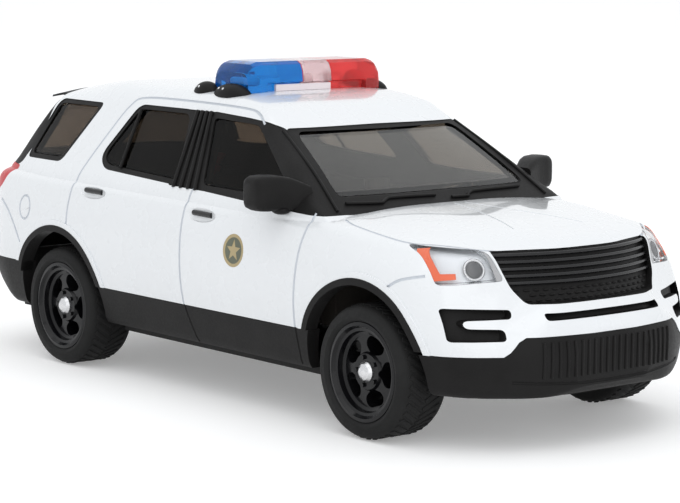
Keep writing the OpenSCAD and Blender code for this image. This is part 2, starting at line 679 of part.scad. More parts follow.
module base_plate() color("black") difference() {
    union() {
        difference() {
            translate([0, 0, clearance_h]) linear_extrude(deck_h - clearance_h) base_outline();
            for (x = [rear_x, front_x], s = [-1, 1]) bay(x, s);
            for (x = [rear_post_x + 2 - far, front_post_x - 1.6])
                translate([x, -far / 2, 0]) cube([far, far, clearance_h + end_rise]);
        }
        for (x = [rear_x, front_x], s = [-1, 1])
            translate([x - 1.8, s * bearing_y - 1, clearance_h])
                cube([3.6, 2, axle_h + axle_r + 0.8 - clearance_h]);
        translate([-9, -4.5, clearance_h - panel_t]) cube([18, 9, panel_t + 0.5]);
        translate([rear_x + 12, pipe_y, clearance_h]) rotate([0, 90, 0])
            cylinder(r = 0.6, h = wheelbase - 26);
        translate([rear_x - 7.6, rivet_d + 0.4, clearance_h - 0.1]) rotate([-90, 0, 0])
            cylinder(r = 0.75, h = pipe_y - rivet_d);
        translate([rear_x, 0, clearance_h]) sphere(r = 1.2);
        translate([front_x - 4, -3.5, clearance_h - 0.6]) cube([8, 7, 1.2]);
    }
    for (x = [rear_x, front_x]) translate([x, 0, axle_h]) rotate([90, 0, 0])
        cylinder(r = bore_r, h = far, center = true);
    for (x = [rear_x, front_x])
        translate([x - 1.6, 1.1 - bearing_y, axle_h - axle_r - 0.3]) cube([3.2, 2 * bearing_y - 2.2, far]);
    for (x = [front_post_x, rear_post_x]) translate([x, 0, 0]) cylinder(d = rivet_d + 2 * slack, h = far);
}

module base_rivets() color("silver") for (x = [front_post_x, rear_post_x]) translate([x, 0, clearance_h]) {
    translate([0, 0, end_rise - 0.4]) cylinder(d = rivet_d, h = deck_h - clearance_h - end_rise + 0.4);
    translate([0, 0, end_rise - 0.4]) cylinder(d1 = rivet_d + 0.6, d2 = rivet_d + 1, h = 0.4);
}

tub_z = deck_h + 4.2;
tub_t = 1;
tub_y = tyre_out - tyre_w - 1.25;
seat_d = 4.6;
front_seat_x = mid_x + 3.8;
rear_seat_x = mid_x - 9.7;
seat_y = half_w - 10.1;

// A slab with upright rounded edges, w across the car
module pad(depth, w, h) {
    hull() for (x = [0.5, depth - 0.5], y = [-1, 1])
        translate([x, y * (w / 2 - 0.5), 0]) cylinder(r = 0.5, h = h, $fn = 10);
}

module seat(x, y, w) translate([x, y, tub_z]) {
    translate([-seat_d / 2, 0, -0.1]) pad(seat_d, w, 2.4);
    translate([-seat_d / 2, 0, 1.8]) rotate([0, -14, 0]) pad(1.5, w, 6.2);
    translate([-seat_d / 2 - 1.9, 0, 7.4]) rotate([0, -10, 0]) pad(1.1, w * 0.45, 1.7);
}

// The tub: floor, legs, door cards, dashboard and seats
module cabin_tub() color("saddlebrown") {
    card_y = half_w - 3.3;
    card_x = pillar_x - 1.4;
    dash_x = cowl_x - 4.7;
    tub_x = tail_x + 9.4;
    translate([tub_x, -tub_y, tub_z - tub_t]) cube([front_x - 3.95 - tub_x, 2 * tub_y, tub_t]);
    for (s = [-1, 1]) {
        translate([card_x, s * card_y - 0.4, tub_z - tub_t])
            cube([dash_x + 1 - card_x, 0.8, belt_h - 2 - tub_z + tub_t]);
        translate([card_x, s > 0 ? tub_y - 1 : -card_y, tub_z - tub_t])
            cube([dash_x + 1 - card_x, card_y - tub_y + 1, tub_t]);
    }
    for (s = [-1, 1]) seat(front_seat_x, s * seat_y, 6);
    seat(rear_seat_x, 0, 2 * (half_w - 6.5));
    translate([dash_x, half_w - 4.1, 0]) rotate([90, 0, 0]) linear_extrude(2 * (half_w - 4.1))
        polygon([[0, tub_z + 2.2], [0.2, belt_h - 2.2], [0.9, belt_h - 1.8], [3.4, belt_h - 1.9],
            [3.4, tub_z - tub_t], [1.6, tub_z - tub_t]]);
    for (x = [rear_x + 9.15, front_x - 13.55], s = [-1, 1])
        translate([x, s * 6, deck_h]) cylinder(r = 1.2, h = tub_z - tub_t - deck_h, $fn = 16);
}

module steering_wheel() color("black") translate([cowl_x - 5.6, seat_y, belt_h - 2]) rotate([0, -62, 0]) {
    rotate_extrude() translate([1.7, 0]) circle(r = 0.28, $fn = 16);
    cylinder(r = 0.5, h = 0.6, center = true);
    for (a = [0, 120, 240]) rotate([0, 0, a]) translate([0, -0.2, -0.2]) cube([1.7, 0.4, 0.4]);
    translate([0, 0, -0.75]) cylinder(r = 0.4, h = 0.75);
}

// How far the wheel's hub lies behind the tyre's outer face
hub_in = 0.75;

// An axle with a domed head at each end, outside the hubs
module axle(x) translate([x, 0, axle_h]) rotate([90, 0, 0]) {
    cylinder(r = axle_r, h = 2 * (tyre_out - hub_in), center = true);
    for (s = [0, 1]) mirror([0, 0, s]) translate([0, 0, tyre_out - hub_in])
        rotate_extrude() polygon([[0, 0], [axle_r + 0.1, 0], [axle_r + 0.1, 0.12], [axle_r - 0.08, 0.36],
            [axle_r - 0.35, 0.54], [0, 0.62]]);
}

module front_axle() color("silver") axle(front_x);

module rear_axle() color("silver") axle(rear_x);

window_at = 2.35;

// A rim lies with its outer face toward +Z before it is turned to its side. Profile from the hub's back
// out to the barrel, over the lip and down the stepped dish to the disc and the hub's face.
module rim_shape() difference() {
    rim_r = rim_d / 2;
    lip_z = tyre_w / 2;
    union() {
        rotate_extrude() polygon([[axle_r, -2.4], [1.6, -2.4], [1.6, -0.3], [rim_r - 0.9, -0.3],
            [rim_r - 0.9, -lip_z], [rim_r, -lip_z], [rim_r, lip_z - 0.2], [rim_r - 0.3, lip_z - 0.15],
            [rim_r - 0.5, lip_z - 0.45], [rim_r - 0.75, lip_z - 0.5], [rim_r - 0.85, lip_z - 0.95],
            [rim_r - 1.1, lip_z - 1.1], [1.65, lip_z - 1], [1.5, lip_z - hub_in], [axle_r, lip_z - hub_in]]);
        for (a = [0 : 72 : 288]) rotate([0, 0, a + 36]) translate([1.22, 0, 0.5])
            cylinder(r = 0.2, h = lip_z - hub_in - 0.3, $fn = 16);
    }
    for (a = [0 : 72 : 288]) rotate([0, 0, a]) hull() {
        translate([window_at - 0.45, 0, -0.9]) cylinder(r = 0.42, h = 3, $fn = 16);
        for (s = [-1, 1]) translate([window_at, s * 0.5, -0.9]) cylinder(r = 0.6, h = 3, $fn = 16);
    }
}

module tyre_shape() {
    side = [[rim_d / 2, tyre_w / 2 - 0.25], [rim_d / 2 + 0.5, tyre_w / 2], [axle_h - 0.6, tyre_w / 2],
        [axle_h - 0.15, tyre_w / 2 - 0.3], [axle_h, tyre_w / 2 - 0.8]];
    rotate_extrude() polygon([each side, for (i = [len(side) - 1 : -1 : 0]) [side[i][0], -side[i][1]]]);
}

module at_wheel(x, s) translate([x, s * tyre_mid, axle_h]) rotate([-s * 90, 0, 0]) children();

module wheel_front_left() color("black") at_wheel(front_x, 1) rim_shape();

module wheel_front_right() color("black") at_wheel(front_x, -1) rim_shape();

module wheel_rear_left() color("black") at_wheel(rear_x, 1) rim_shape();

module wheel_rear_right() color("black") at_wheel(rear_x, -1) rim_shape();

module tyre_front_left() color("dimgray") at_wheel(front_x, 1) tyre_shape();

module tyre_front_right() color("dimgray") at_wheel(front_x, -1) tyre_shape();

module tyre_rear_left() color("dimgray") at_wheel(rear_x, 1) tyre_shape();

module tyre_rear_right() color("dimgray") at_wheel(rear_x, -1) tyre_shape();

body_shell();
window_moulding();
grille();
headlamp_left();
headlamp_right();
tail_lamp_left();
tail_lamp_right();
front_valance();
rear_valance();
sill_left();
sill_right();
arch_mouldings();
mirror_left();
mirror_right();
rear_spoiler();
light_bar_tray();
lens_blue();
lens_clear();
lens_red();
base_plate();
base_rivets();
cabin_tub();
steering_wheel();
front_axle();
rear_axle();
wheel_front_left();
wheel_front_right();
wheel_rear_left();
wheel_rear_right();
tyre_front_left();
tyre_front_right();
tyre_rear_left();
tyre_rear_right();
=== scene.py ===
import math

import bmesh
import bpy
from mathutils import Matrix, Vector
from mathutils.bvhtree import BVHTree


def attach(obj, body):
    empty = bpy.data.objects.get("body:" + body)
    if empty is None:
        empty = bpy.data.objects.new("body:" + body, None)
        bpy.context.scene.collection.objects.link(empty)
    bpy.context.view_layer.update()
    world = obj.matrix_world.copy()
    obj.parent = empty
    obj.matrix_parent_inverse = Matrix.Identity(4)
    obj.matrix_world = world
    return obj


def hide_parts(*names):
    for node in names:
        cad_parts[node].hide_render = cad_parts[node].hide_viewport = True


# A millimetre and a micron in metres, and a distance in millimetres that lies past the whole car
MM = 0.001
MICRON = 0.000001
FAR = 60.0

# Driving sizes in millimetres, the same as the frame's
LENGTH = 74.8
BODY_W = 31.0
ROOF_H = 27.1
BELT_H = 18.0
WHEELBASE = 44.7
FRONT_OVERHANG = 13.85
TYRE_D = 11.3
TYRE_W = 5.0
TYRE_SPAN = 30.9
WALL = 1.0
ARCH_R = 7.75
ARCH_SHIFT = -0.5
ARCH_TRIM = 0.6
SILL_H = 8.2
DECK_H = 4.8
RIM_D = 8.3
BAR_X = -3.9
BAR_LEN = 15.6
BAR_DEPTH = 5.8
BAR_H = 2.35
BAR_MIDDLE = 3.4
LENS_Z = ROOF_H + 0.2
GRILLE_R = 17.0
GRILLE_LEAN = math.radians(22)
NOSE = LENGTH / 2
TAIL = -LENGTH / 2
FRONT_X = NOSE - FRONT_OVERHANG
REAR_X = FRONT_X - WHEELBASE
HALF_W = BODY_W / 2
AXLE_H = TYRE_D / 2
TYRE_OUT = TYRE_SPAN / 2
OPENING_R = ARCH_R - ARCH_TRIM
OPEN_FOOT = 4


def lower_station(x, insets, heights):
    """One section of the lower body: insets from the half width, and heights from foot to middle."""
    return [x, *[HALF_W - inset for inset in insets], *heights]


def glass_station(x, belt_inset, roof_inset, edge_h, middle_h):
    """One section of the glasshouse: insets at belt and roof edge, heights at roof edge and middle."""
    return [x, HALF_W - belt_inset, HALF_W - roof_inset, edge_h, middle_h]


LOWER = [
    lower_station(TAIL, (7, 5.6, 6, 6.6, 8.6), (8, 8.7, 9.6, 10.2, 10.5, 10.6)),
    lower_station(TAIL + 0.5, (5, 3.5, 4.1, 4.9, 7), (7.3, 8.6, 11.5, 15.2, 16.6, 17)),
    lower_station(TAIL + 1.3, (3.7, 2.3, 2.7, 3.2, 5.5), (6.7, 8.8, 13, 16.5, 17.4, 17.7)),
    lower_station(TAIL + 3, (2.3, 0.9, 1.1, 1.9, 4), (5.7, 9, 13.6, 17.5, 18.2, 18.5)),
    lower_station(TAIL + 6.4, (1.5, 0.3, 0.3, 1.1, 3.5), (4.5, 9.4, 14, 17.8, 18.3, 18.5)),
    lower_station(REAR_X, (1.1, 0, 0, 0.75, 3.5), (4.4, 9.6, 14.2, 17.7, 18.1, 18.3)),
    lower_station(0, (1.1, 0, 0.05, 0.8, 3.5), (4.4, 9.6, 14.2, 17.5, 17.9, 18.1)),
    lower_station(FRONT_X - 6.6, (1.1, 0.05, 0.1, 1.1, 3.3), (4.4, 9.6, 14.2, 17.3, 17.75, 18.25)),
    lower_station(FRONT_X, (1.1, 0, 0.2, 1.5, 3.7), (4.4, 9.6, 14.2, 16.75, 17.2, 17.9)),
    lower_station(NOSE - 9, (1.3, 0.2, 0.7, 2.3, 4.5), (4.4, 9.4, 13.8, 16.3, 16.75, 17.45)),
    lower_station(NOSE - 6, (2.3, 1, 2.1, 4.7, 6.9), (4.4, 9.2, 13.2, 15.9, 16.3, 16.95)),
    lower_station(NOSE - 3.9, (3.7, 2.5, 6, 8.6, 11), (4.4, 9, 12.5, 15.2, 16, 16.4)),
    lower_station(NOSE - 2.9, (4.9, 3.7, 7.9, 10.1, 12.1), (4.4, 8.9, 11.9, 14.2, 14.9, 15.2)),
    lower_station(NOSE - 1.9, (6.2, 5.3, 8.8, 10.7, 12.5), (4.4, 8.8, 11.3, 12.7, 13.1, 13.3)),
    lower_station(NOSE - 1, (7.9, 7.1, 9.1, 10.6, 12.5), (4.5, 8.6, 10.6, 11.2, 11.5, 11.6)),
    lower_station(NOSE, (11.3, 10.9, 11.7, 12.5, 13.5), (5.2, 7.6, 8.8, 9.3, 9.6, 9.7)),
]
GLASSHOUSE = [
    glass_station(TAIL + 1.8, 4.3, 5.1, BELT_H - 0.9, BELT_H - 0.1),
    glass_station(TAIL + 3.2, 2.9, 3.5, BELT_H + 0.4, BELT_H + 2.4),
    glass_station(TAIL + 4.9, 2.2, 3.2, BELT_H + 1.8, BELT_H + 4.8),
    glass_station(TAIL + 6.7, 1.7, 4.1, BELT_H + 4.6, ROOF_H - 1.35),
    glass_station(TAIL + 8.4, 1.4, 5.4, ROOF_H - 1.9, ROOF_H - 0.8),
    glass_station(TAIL + 12.4, 1.1, 5.6, ROOF_H - 1.4, ROOF_H - 0.3),
    glass_station(-18, 1.05, 5.7, ROOF_H - 1, ROOF_H),
    glass_station(-9, 1, 5.7, ROOF_H - 1, ROOF_H),
    glass_station(-1, 1, 5.6, ROOF_H - 1.1, ROOF_H - 0.15),
    glass_station(3.5, 1, 5.4, ROOF_H - 1.5, ROOF_H - 0.85),
    glass_station(6.3, 1, 4.8, ROOF_H - 2.7, ROOF_H - 2.15),
    glass_station(12, 1.05, 3.1, BELT_H + 3.2, BELT_H + 3.6),
    glass_station(16.9, 1.5, 2, BELT_H - 0.1, BELT_H + 0.5),
    glass_station(18.4, 2, 2.6, BELT_H - 1, BELT_H - 0.5),
]
# Setbacks that soften the corners of a section, from foot to middle
LOWER_SOFT = [0, 1.2, 3, 2.4, 0.7, 1.2, 4, 0]
GLASS_SOFT = [0, 0.4, 1, 1.5, 4, 0]

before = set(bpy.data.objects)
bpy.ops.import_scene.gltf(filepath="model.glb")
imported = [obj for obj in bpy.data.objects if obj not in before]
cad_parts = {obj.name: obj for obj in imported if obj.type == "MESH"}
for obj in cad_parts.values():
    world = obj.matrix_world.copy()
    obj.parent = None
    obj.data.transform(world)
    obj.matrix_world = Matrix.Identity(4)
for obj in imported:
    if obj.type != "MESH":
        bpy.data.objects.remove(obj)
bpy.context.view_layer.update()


# Materials


def new_material(name):
    """A node material, with its tree and its shader."""
    material = bpy.data.materials.new(name)
    material.use_nodes = True
    shader = material.node_tree.nodes["Principled BSDF"]
    return material, material.node_tree, shader


def add_noise(tree, scale, detail=3.0):
    """Noise in Object coordinates, with its scale in waves per metre."""
    place = tree.nodes.new("ShaderNodeTexCoord")
    noise = tree.nodes.new("ShaderNodeTexNoise")
    noise.inputs["Scale"].default_value = scale
    noise.inputs["Detail"].default_value = detail
    tree.links.new(place.outputs["Object"], noise.inputs["Vector"])
    return noise


def vary(tree, noise, low, high, socket):
    """Sends noise to a shader socket as a value between low and high."""
    spread = tree.nodes.new("ShaderNodeMapRange")
    spread.inputs["From Min"].default_value = 0.3
    spread.inputs["From Max"].default_value = 0.7
    spread.inputs["To Min"].default_value = low
    spread.inputs["To Max"].default_value = high
    tree.links.new(noise.outputs["Fac"], spread.inputs["Value"])
    tree.links.new(spread.outputs["Result"], socket)


def tint(tree, noise, low, high, socket):
    """Sends noise to a colour socket as a mix of two near colours."""
    ramp = tree.nodes.new("ShaderNodeValToRGB")
    ramp.color_ramp.elements[0].position = 0.3
    ramp.color_ramp.elements[0].color = (*low, 1)
    ramp.color_ramp.elements[1].position = 0.7
    ramp.color_ramp.elements[1].color = (*high, 1)
    tree.links.new(noise.outputs["Fac"], ramp.inputs["Fac"])
    tree.links.new(ramp.outputs["Color"], socket)


def roughen(tree, noise, height, shader):
    """A bump of the given height, in microns, from noise."""
    bump = tree.nodes.new("ShaderNodeBump")
    bump.inputs["Strength"].default_value = 1.0
    bump.inputs["Distance"].default_value = height * MICRON
    tree.links.new(noise.outputs["Fac"], bump.inputs["Height"])
    tree.links.new(bump.outputs["Normal"], shader.inputs["Normal"])


def surface(name, low, high, rough, grain, height, metallic=0.0, coat=0.0, specular=0.5):
    """An opaque finish: two near colours, a roughness range, a grain in waves per metre and its microns."""
    material, tree, shader = new_material(name)
    noise = add_noise(tree, grain)
    broad = add_noise(tree, grain * 0.06, 2.0)
    tint(tree, broad, low, high, shader.inputs["Base Color"])
    vary(tree, noise, rough[0], rough[1], shader.inputs["Roughness"])
    roughen(tree, noise, height, shader)
    shader.inputs["Metallic"].default_value = metallic
    shader.inputs["Coat Weight"].default_value = coat
    shader.inputs["Coat Roughness"].default_value = 0.03
    shader.inputs["Specular IOR Level"].default_value = specular
    return material


def clear_plastic(name, colour, rough, ior, through=1.0):
    """A clear or tinted moulding that lets light through, the rest of it cloudy."""
    material, tree, shader = new_material(name)
    vary(tree, add_noise(tree, 900.0), rough[0], rough[1], shader.inputs["Roughness"])
    shader.inputs["Base Color"].default_value = (*colour, 1)
    shader.inputs["IOR"].default_value = ior
    shader.inputs["Transmission Weight"].default_value = through
    return material


WHITE_PAINT = surface(
    "white_paint", (0.83, 0.85, 0.87), (0.86, 0.88, 0.90), (0.26, 0.29), 500, 0.04, coat=1.0, specular=0.4
)
# Pale grey painted shade for the walls of the seam grooves, darker than the white paint round them
PAINTED_SEAM_SHADE = surface(
    "seam_shade", (0.64, 0.67, 0.71), (0.70, 0.73, 0.77), (0.5, 0.6), 900, 2, specular=0.2
)
DARK_SATIN = surface(
    "dark_satin", (0.010, 0.0095, 0.0095), (0.014, 0.0135, 0.0135), (0.42, 0.54), 5200, 10, specular=0.13
)
DARK_GLOSS = surface(
    "dark_gloss", (0.006, 0.006, 0.007), (0.010, 0.010, 0.011), (0.2, 0.3), 2600, 4, specular=0.4
)
WHEEL_BLACK = surface(
    "wheel_black", (0.004, 0.004, 0.005), (0.008, 0.008, 0.009), (0.14, 0.22), 2400, 2,
    coat=0.1, specular=0.22,
)
TYRE_RUBBER = surface(
    "tyre_rubber", (0.015, 0.015, 0.015), (0.021, 0.021, 0.021), (0.56, 0.72), 6000, 14, specular=0.12
)
BRIGHT_STEEL = surface(
    "bright_steel", (0.62, 0.62, 0.63), (0.72, 0.72, 0.73), (0.2, 0.34), 3000, 3, metallic=1.0
)
REFLECTOR = surface(
    "reflector", (0.66, 0.66, 0.67), (0.74, 0.74, 0.75), (0.15, 0.3), 2200, 4, metallic=0.6
)
LAMP_RED = surface(
    "lamp_red", (0.54, 0.024, 0.03), (0.62, 0.034, 0.04), (0.25, 0.35), 2000, 4, specular=0.15
)
LAMP_EYE = surface(
    "lamp_eye", (0.10, 0.10, 0.105), (0.16, 0.16, 0.165), (0.08, 0.16), 1500, 2, coat=0.8
)
LAMP_BOWL = surface("lamp_bowl", (0.91, 0.92, 0.94), (0.94, 0.95, 0.97), (0.3, 0.45), 1500, 10)
LAMP_EDGE = surface("lamp_edge", (0.40, 0.40, 0.41), (0.48, 0.48, 0.49), (0.2, 0.3), 1500, 4)
AMBER_LENS = surface("amber_lens", (0.78, 0.13, 0.055), (0.84, 0.19, 0.09), (0.25, 0.35), 1800, 4)
BLUE_CORE = surface("blue_core", (0.75, 0.90, 0.95), (0.85, 0.95, 0.98), (0.3, 0.45), 2200, 4)
RED_CORE = surface("red_core", (0.72, 0.08, 0.09), (0.86, 0.16, 0.16), (0.3, 0.45), 2200, 4)
# Pinkish pale that stands for light: on the middle core a painted reflection of the red light, on the recess
# strip a painted reflection of the white roof
PAINTED_REFLECTION_PALE = surface("pale_painted_reflection", (0.86, 0.76, 0.78), (0.92, 0.84, 0.86), (0.3, 0.45), 2200, 4)
EMBLEM_TAN = surface("emblem_tan", (0.42, 0.33, 0.17), (0.50, 0.40, 0.22), (0.4, 0.5), 1800, 2)
EMBLEM_OLIVE = surface("emblem_olive", (0.10, 0.11, 0.075), (0.14, 0.15, 0.10), (0.4, 0.5), 1800, 2)
CABIN_PLASTIC = surface("cabin_plastic", (0.045, 0.039, 0.034), (0.06, 0.052, 0.046), (0.5, 0.65), 4200, 10)
SMOKED_GLASS = clear_plastic("smoked_glass", (0.125, 0.105, 0.085), (0.0, 0.02), 1.15)
QUARTER_PLASTIC = clear_plastic("quarter_plastic", (0.42, 0.35, 0.285), (0.0, 0.02), 1.2)
SCREEN_GLASS = clear_plastic("screen_glass", (0.66, 0.64, 0.60), (0.0, 0.02), 1.5)
CLEAR_LENS = clear_plastic("clear_lens", (0.95, 0.96, 0.97), (0.02, 0.05), 1.15)
RED_LENS = clear_plastic("red_lens", (0.88, 0.06, 0.06), (0.02, 0.06), 1.35, 0.6)
BLUE_LENS = clear_plastic("blue_lens", (0.008, 0.24, 0.72), (0.02, 0.06), 1.35, 0.8)
# The clear middle cover, tinted pink as a painted reflection of the red light inside the bar
BAR_CLEAR_PAINTED_REFLECTION = clear_plastic("bar_clear_painted_reflection", (0.98, 0.74, 0.75), (0.02, 0.06), 1.3, 0.75)
# The frame's material slots and the finish that each gets
SLOTS = {
    "white_paint": WHITE_PAINT,
    "smoked_glass": SMOKED_GLASS,
    "dark_plastic": DARK_SATIN,
    "clear_lens": CLEAR_LENS,
    "red_lens": RED_LENS,
    "blue_lens": BLUE_LENS,
    "steel": BRIGHT_STEEL,
    "cabin_plastic": CABIN_PLASTIC,
    "wheel_plastic": WHEEL_BLACK,
    "tyre_rubber": TYRE_RUBBER,
}


# Mesh helpers


def make_object(name, mesh, material):
    """An object of one material in the scene."""
    mesh.materials.clear()
    mesh.materials.append(material)
    piece = bpy.data.objects.new(name, mesh)
    bpy.context.scene.collection.objects.link(piece)
    return piece


def mesh_from(name, points, faces):
    """A closed mesh from points in millimetres, with its faces turned outwards."""
    shape = bmesh.new()
    corners = [shape.verts.new(Vector(p) * MM) for p in points]
    for face in faces:
        shape.faces.new([corners[i] for i in face])
    bmesh.ops.recalc_face_normals(shape, faces=shape.faces)
    mesh = bpy.data.meshes.new(name)
    shape.to_mesh(mesh)
    shape.free()
    return mesh


def settle(piece):
    """Turns a piece with modifiers into a plain mesh."""
    depsgraph = bpy.context.evaluated_depsgraph_get()
    result = piece.evaluated_get(depsgraph)
    mesh = bpy.data.meshes.new_from_object(result, preserve_all_data_layers=True, depsgraph=depsgraph)
    piece.modifiers.clear()
    piece.data = mesh
    return piece


def combine(piece, other, operation):
    """Joins, cuts or keeps the shared part of two closed shapes; the other is used up."""
    step = piece.modifiers.new("combine", "BOOLEAN")
    step.operation = operation
    step.solver = "MANIFOLD"
    step.material_mode = "TRANSFER"
    step.object = other
    settle(piece)
    bpy.data.objects.remove(other)
    return piece


def cut(piece, other):
    """Takes the other shape away."""
    return combine(piece, other, "DIFFERENCE")


def keep(piece, other):
    """Keeps what lies inside the other shape."""
    return combine(piece, other, "INTERSECT")


def join(piece, other):
    """Fuses the other shape on."""
    return combine(piece, other, "UNION")


def move(piece, offset):
    """Moves the points of a piece by an offset in millimetres."""
    piece.data.transform(Matrix.Translation(Vector(offset) * MM))
    return piece


def smooth(piece, angle=32.0):
    """Smooth shading that stops at edges sharper than the angle."""
    shape = bmesh.new()
    shape.from_mesh(piece.data)
    limit = math.radians(angle)
    for face in shape.faces:
        face.smooth = True
    for edge in shape.edges:
        edge.smooth = len(edge.link_faces) == 2 and edge.calc_face_angle(0) < limit
    shape.to_mesh(piece.data)
    shape.free()
    return piece


def skin_rings(name, rings, material):
    """A closed skin through rings of points in millimetres, all with the same count."""
    n, m = len(rings[0]), len(rings)
    points = [p for ring in rings for p in ring]
    faces = [
        (i * n + j, (i + 1) * n + j, (i + 1) * n + (j + 1) % n, i * n + (j + 1) % n)
        for i in range(m - 1)
        for j in range(n)
    ]
    faces += [tuple(range(n)), tuple(range((m - 1) * n, m * n))]
    return make_object(name, mesh_from(name, points, faces), material)


def new_tree(name, sockets):
    """An empty Geometry Nodes tree with its named inputs, ending in Realize Instances and Set Material."""
    tree = bpy.data.node_groups.new(name, "GeometryNodeTree")
    tree.interface.new_socket("Geometry", in_out="INPUT", socket_type="NodeSocketGeometry")
    for label, kind in sockets:
        tree.interface.new_socket(label, in_out="INPUT", socket_type="NodeSocket" + kind)
    tree.interface.new_socket("Finish", in_out="INPUT", socket_type="NodeSocketMaterial")
    tree.interface.new_socket("Geometry", in_out="OUTPUT", socket_type="NodeSocketGeometry")
    given = tree.nodes.new("NodeGroupInput")
    realize = tree.nodes.new("GeometryNodeRealizeInstances")
    coat = tree.nodes.new("GeometryNodeSetMaterial")
    result = tree.nodes.new("NodeGroupOutput")
    tree.links.new(realize.outputs["Geometry"], coat.inputs["Geometry"])
    tree.links.new(given.outputs["Finish"], coat.inputs["Material"])
    tree.links.new(coat.outputs["Geometry"], result.inputs["Geometry"])
    return tree, given, realize


def bead_tree():
    """Round beads along lines of edges."""
    tree, given, realize = new_tree("bead", [("Radius", "Float"), ("Sides", "Int")])
    lines = tree.nodes.new("GeometryNodeMeshToCurve")
    profile = tree.nodes.new("GeometryNodeCurvePrimitiveCircle")
    sweep = tree.nodes.new("GeometryNodeCurveToMesh")
    sweep.inputs["Fill Caps"].default_value = True
    tree.links.new(given.outputs["Geometry"], lines.inputs["Mesh"])
    tree.links.new(given.outputs["Sides"], profile.inputs["Resolution"])
    tree.links.new(given.outputs["Radius"], profile.inputs["Radius"])
    tree.links.new(lines.outputs["Curve"], sweep.inputs["Curve"])
    tree.links.new(profile.outputs["Curve"], sweep.inputs["Profile Curve"])
    tree.links.new(sweep.outputs["Mesh"], realize.inputs["Geometry"])
    return tree


def repeat_tree():
    """A small shape set on points, standing along their up direction and turned along their other one."""
    tree, given, realize = new_tree("repeat", [("Shape", "Object"), ("Size", "Float")])
    shape = tree.nodes.new("GeometryNodeObjectInfo")
    spread = tree.nodes.new("GeometryNodeInstanceOnPoints")
    turn = tree.nodes.new("FunctionNodeAxesToRotation")
    turn.primary_axis = "Z"
    turn.secondary_axis = "X"
    for label, socket in (("up", "Primary Axis"), ("along", "Secondary Axis")):
        direction = tree.nodes.new("GeometryNodeInputNamedAttribute")
        direction.data_type = "FLOAT_VECTOR"
        direction.inputs["Name"].default_value = label
        tree.links.new(direction.outputs["Attribute"], turn.inputs[socket])
    tree.links.new(given.outputs["Geometry"], spread.inputs["Points"])
    tree.links.new(given.outputs["Shape"], shape.inputs["Object"])
    tree.links.new(shape.outputs["Geometry"], spread.inputs["Instance"])
    tree.links.new(given.outputs["Size"], spread.inputs["Scale"])
    tree.links.new(turn.outputs["Rotation"], spread.inputs["Rotation"])
    tree.links.new(spread.outputs["Instances"], realize.inputs["Geometry"])
    return tree


def grow_mesh(piece, tree, values):
    """Runs a tree on a piece with the given named inputs and keeps the plain mesh."""
    step = piece.modifiers.new("grow", "NODES")
    step.node_group = tree
    for item in tree.interface.items_tree:
        if item.item_type == "SOCKET" and item.in_out == "INPUT" and item.name in values:
            step[item.identifier] = values[item.name]
    return settle(piece)


BEAD = bead_tree()
REPEAT = repeat_tree()


def beads(name, paths, radius, finish, sides=10):
    """Round beads along paths in millimetres."""
    mesh = bpy.data.meshes.new(name)
    points, edges = [], []
    for path in paths:
        edges += [(len(points) + i, len(points) + i + 1) for i in range(len(path) - 1)]
        points += [Vector(p) * MM for p in path]
    mesh.from_pydata(points, edges, [])
    piece = make_object(name, mesh, finish)
    grow_mesh(piece, BEAD, {"Radius": radius * MM, "Sides": sides, "Finish": finish})
    return smooth(piece, 50)


def repeat(name, shape, spots, finish, size=1.0):
    """A shape set at every spot, a triple of place in millimetres, up and along; the shape is used up."""
    mesh = bpy.data.meshes.new(name)
    mesh.from_pydata([Vector(place) * MM for place, _, _ in spots], [], [])
    for label, k in (("up", 1), ("along", 2)):
        values = mesh.attributes.new(label, "FLOAT_VECTOR", "POINT")
        values.data.foreach_set("vector", [c for spot in spots for c in spot[k]])
    piece = make_object(name, mesh, finish)
    grow_mesh(piece, REPEAT, {"Shape": shape, "Size": size, "Finish": finish})
    for label in ("up", "along"):
        if label in piece.data.attributes:
            piece.data.attributes.remove(piece.data.attributes[label])
    bpy.data.objects.remove(shape)
    return smooth(piece, 40)


def ball(name, radii, material, across=16, around=24):
    """An ellipsoid round the origin, in millimetres."""
    shape = bmesh.new()
    bmesh.ops.create_uvsphere(shape, u_segments=around, v_segments=across, radius=1.0)
    bmesh.ops.scale(shape, vec=Vector(radii) * MM, verts=shape.verts)
    mesh = bpy.data.meshes.new(name)
    shape.to_mesh(mesh)
    shape.free()
    return make_object(name, mesh, material)


def block(name, sizes, material, bevel=0.0):
    """A box round the origin, in millimetres, with its edges broken."""
    shape = bmesh.new()
    bmesh.ops.create_cube(shape, size=1.0)
    bmesh.ops.scale(shape, vec=Vector(sizes) * MM, verts=shape.verts)
    if bevel:
        edges = shape.edges[:]
        bmesh.ops.bevel(shape, geom=edges, offset=bevel * MM, segments=2, affect="EDGES", profile=0.5)
    mesh = bpy.data.meshes.new(name)
    shape.to_mesh(mesh)
    shape.free()
    return make_object(name, mesh, material)


def place(piece, body, slot, *nodes):
    """Rides a finished piece on its body and lets it stand for CAD nodes."""
    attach(piece, body)
    if nodes:
        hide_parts(*nodes)


# The outer form, read from the station tables


def lean(table, k, i):
    """The slope of column k at row i, level at a crest or a dip."""

    def slope(j):
        """The slope from row j to the next."""
        return (table[j + 1][k] - table[j][k]) / (table[j + 1][0] - table[j][0])

    if i <= 0:
        return slope(0)
    if i >= len(table) - 1:
        return slope(len(table) - 2)
    a, b = slope(i - 1), slope(i)
    return 0.0 if a * b <= 0 else 2 * a * b / (a + b)


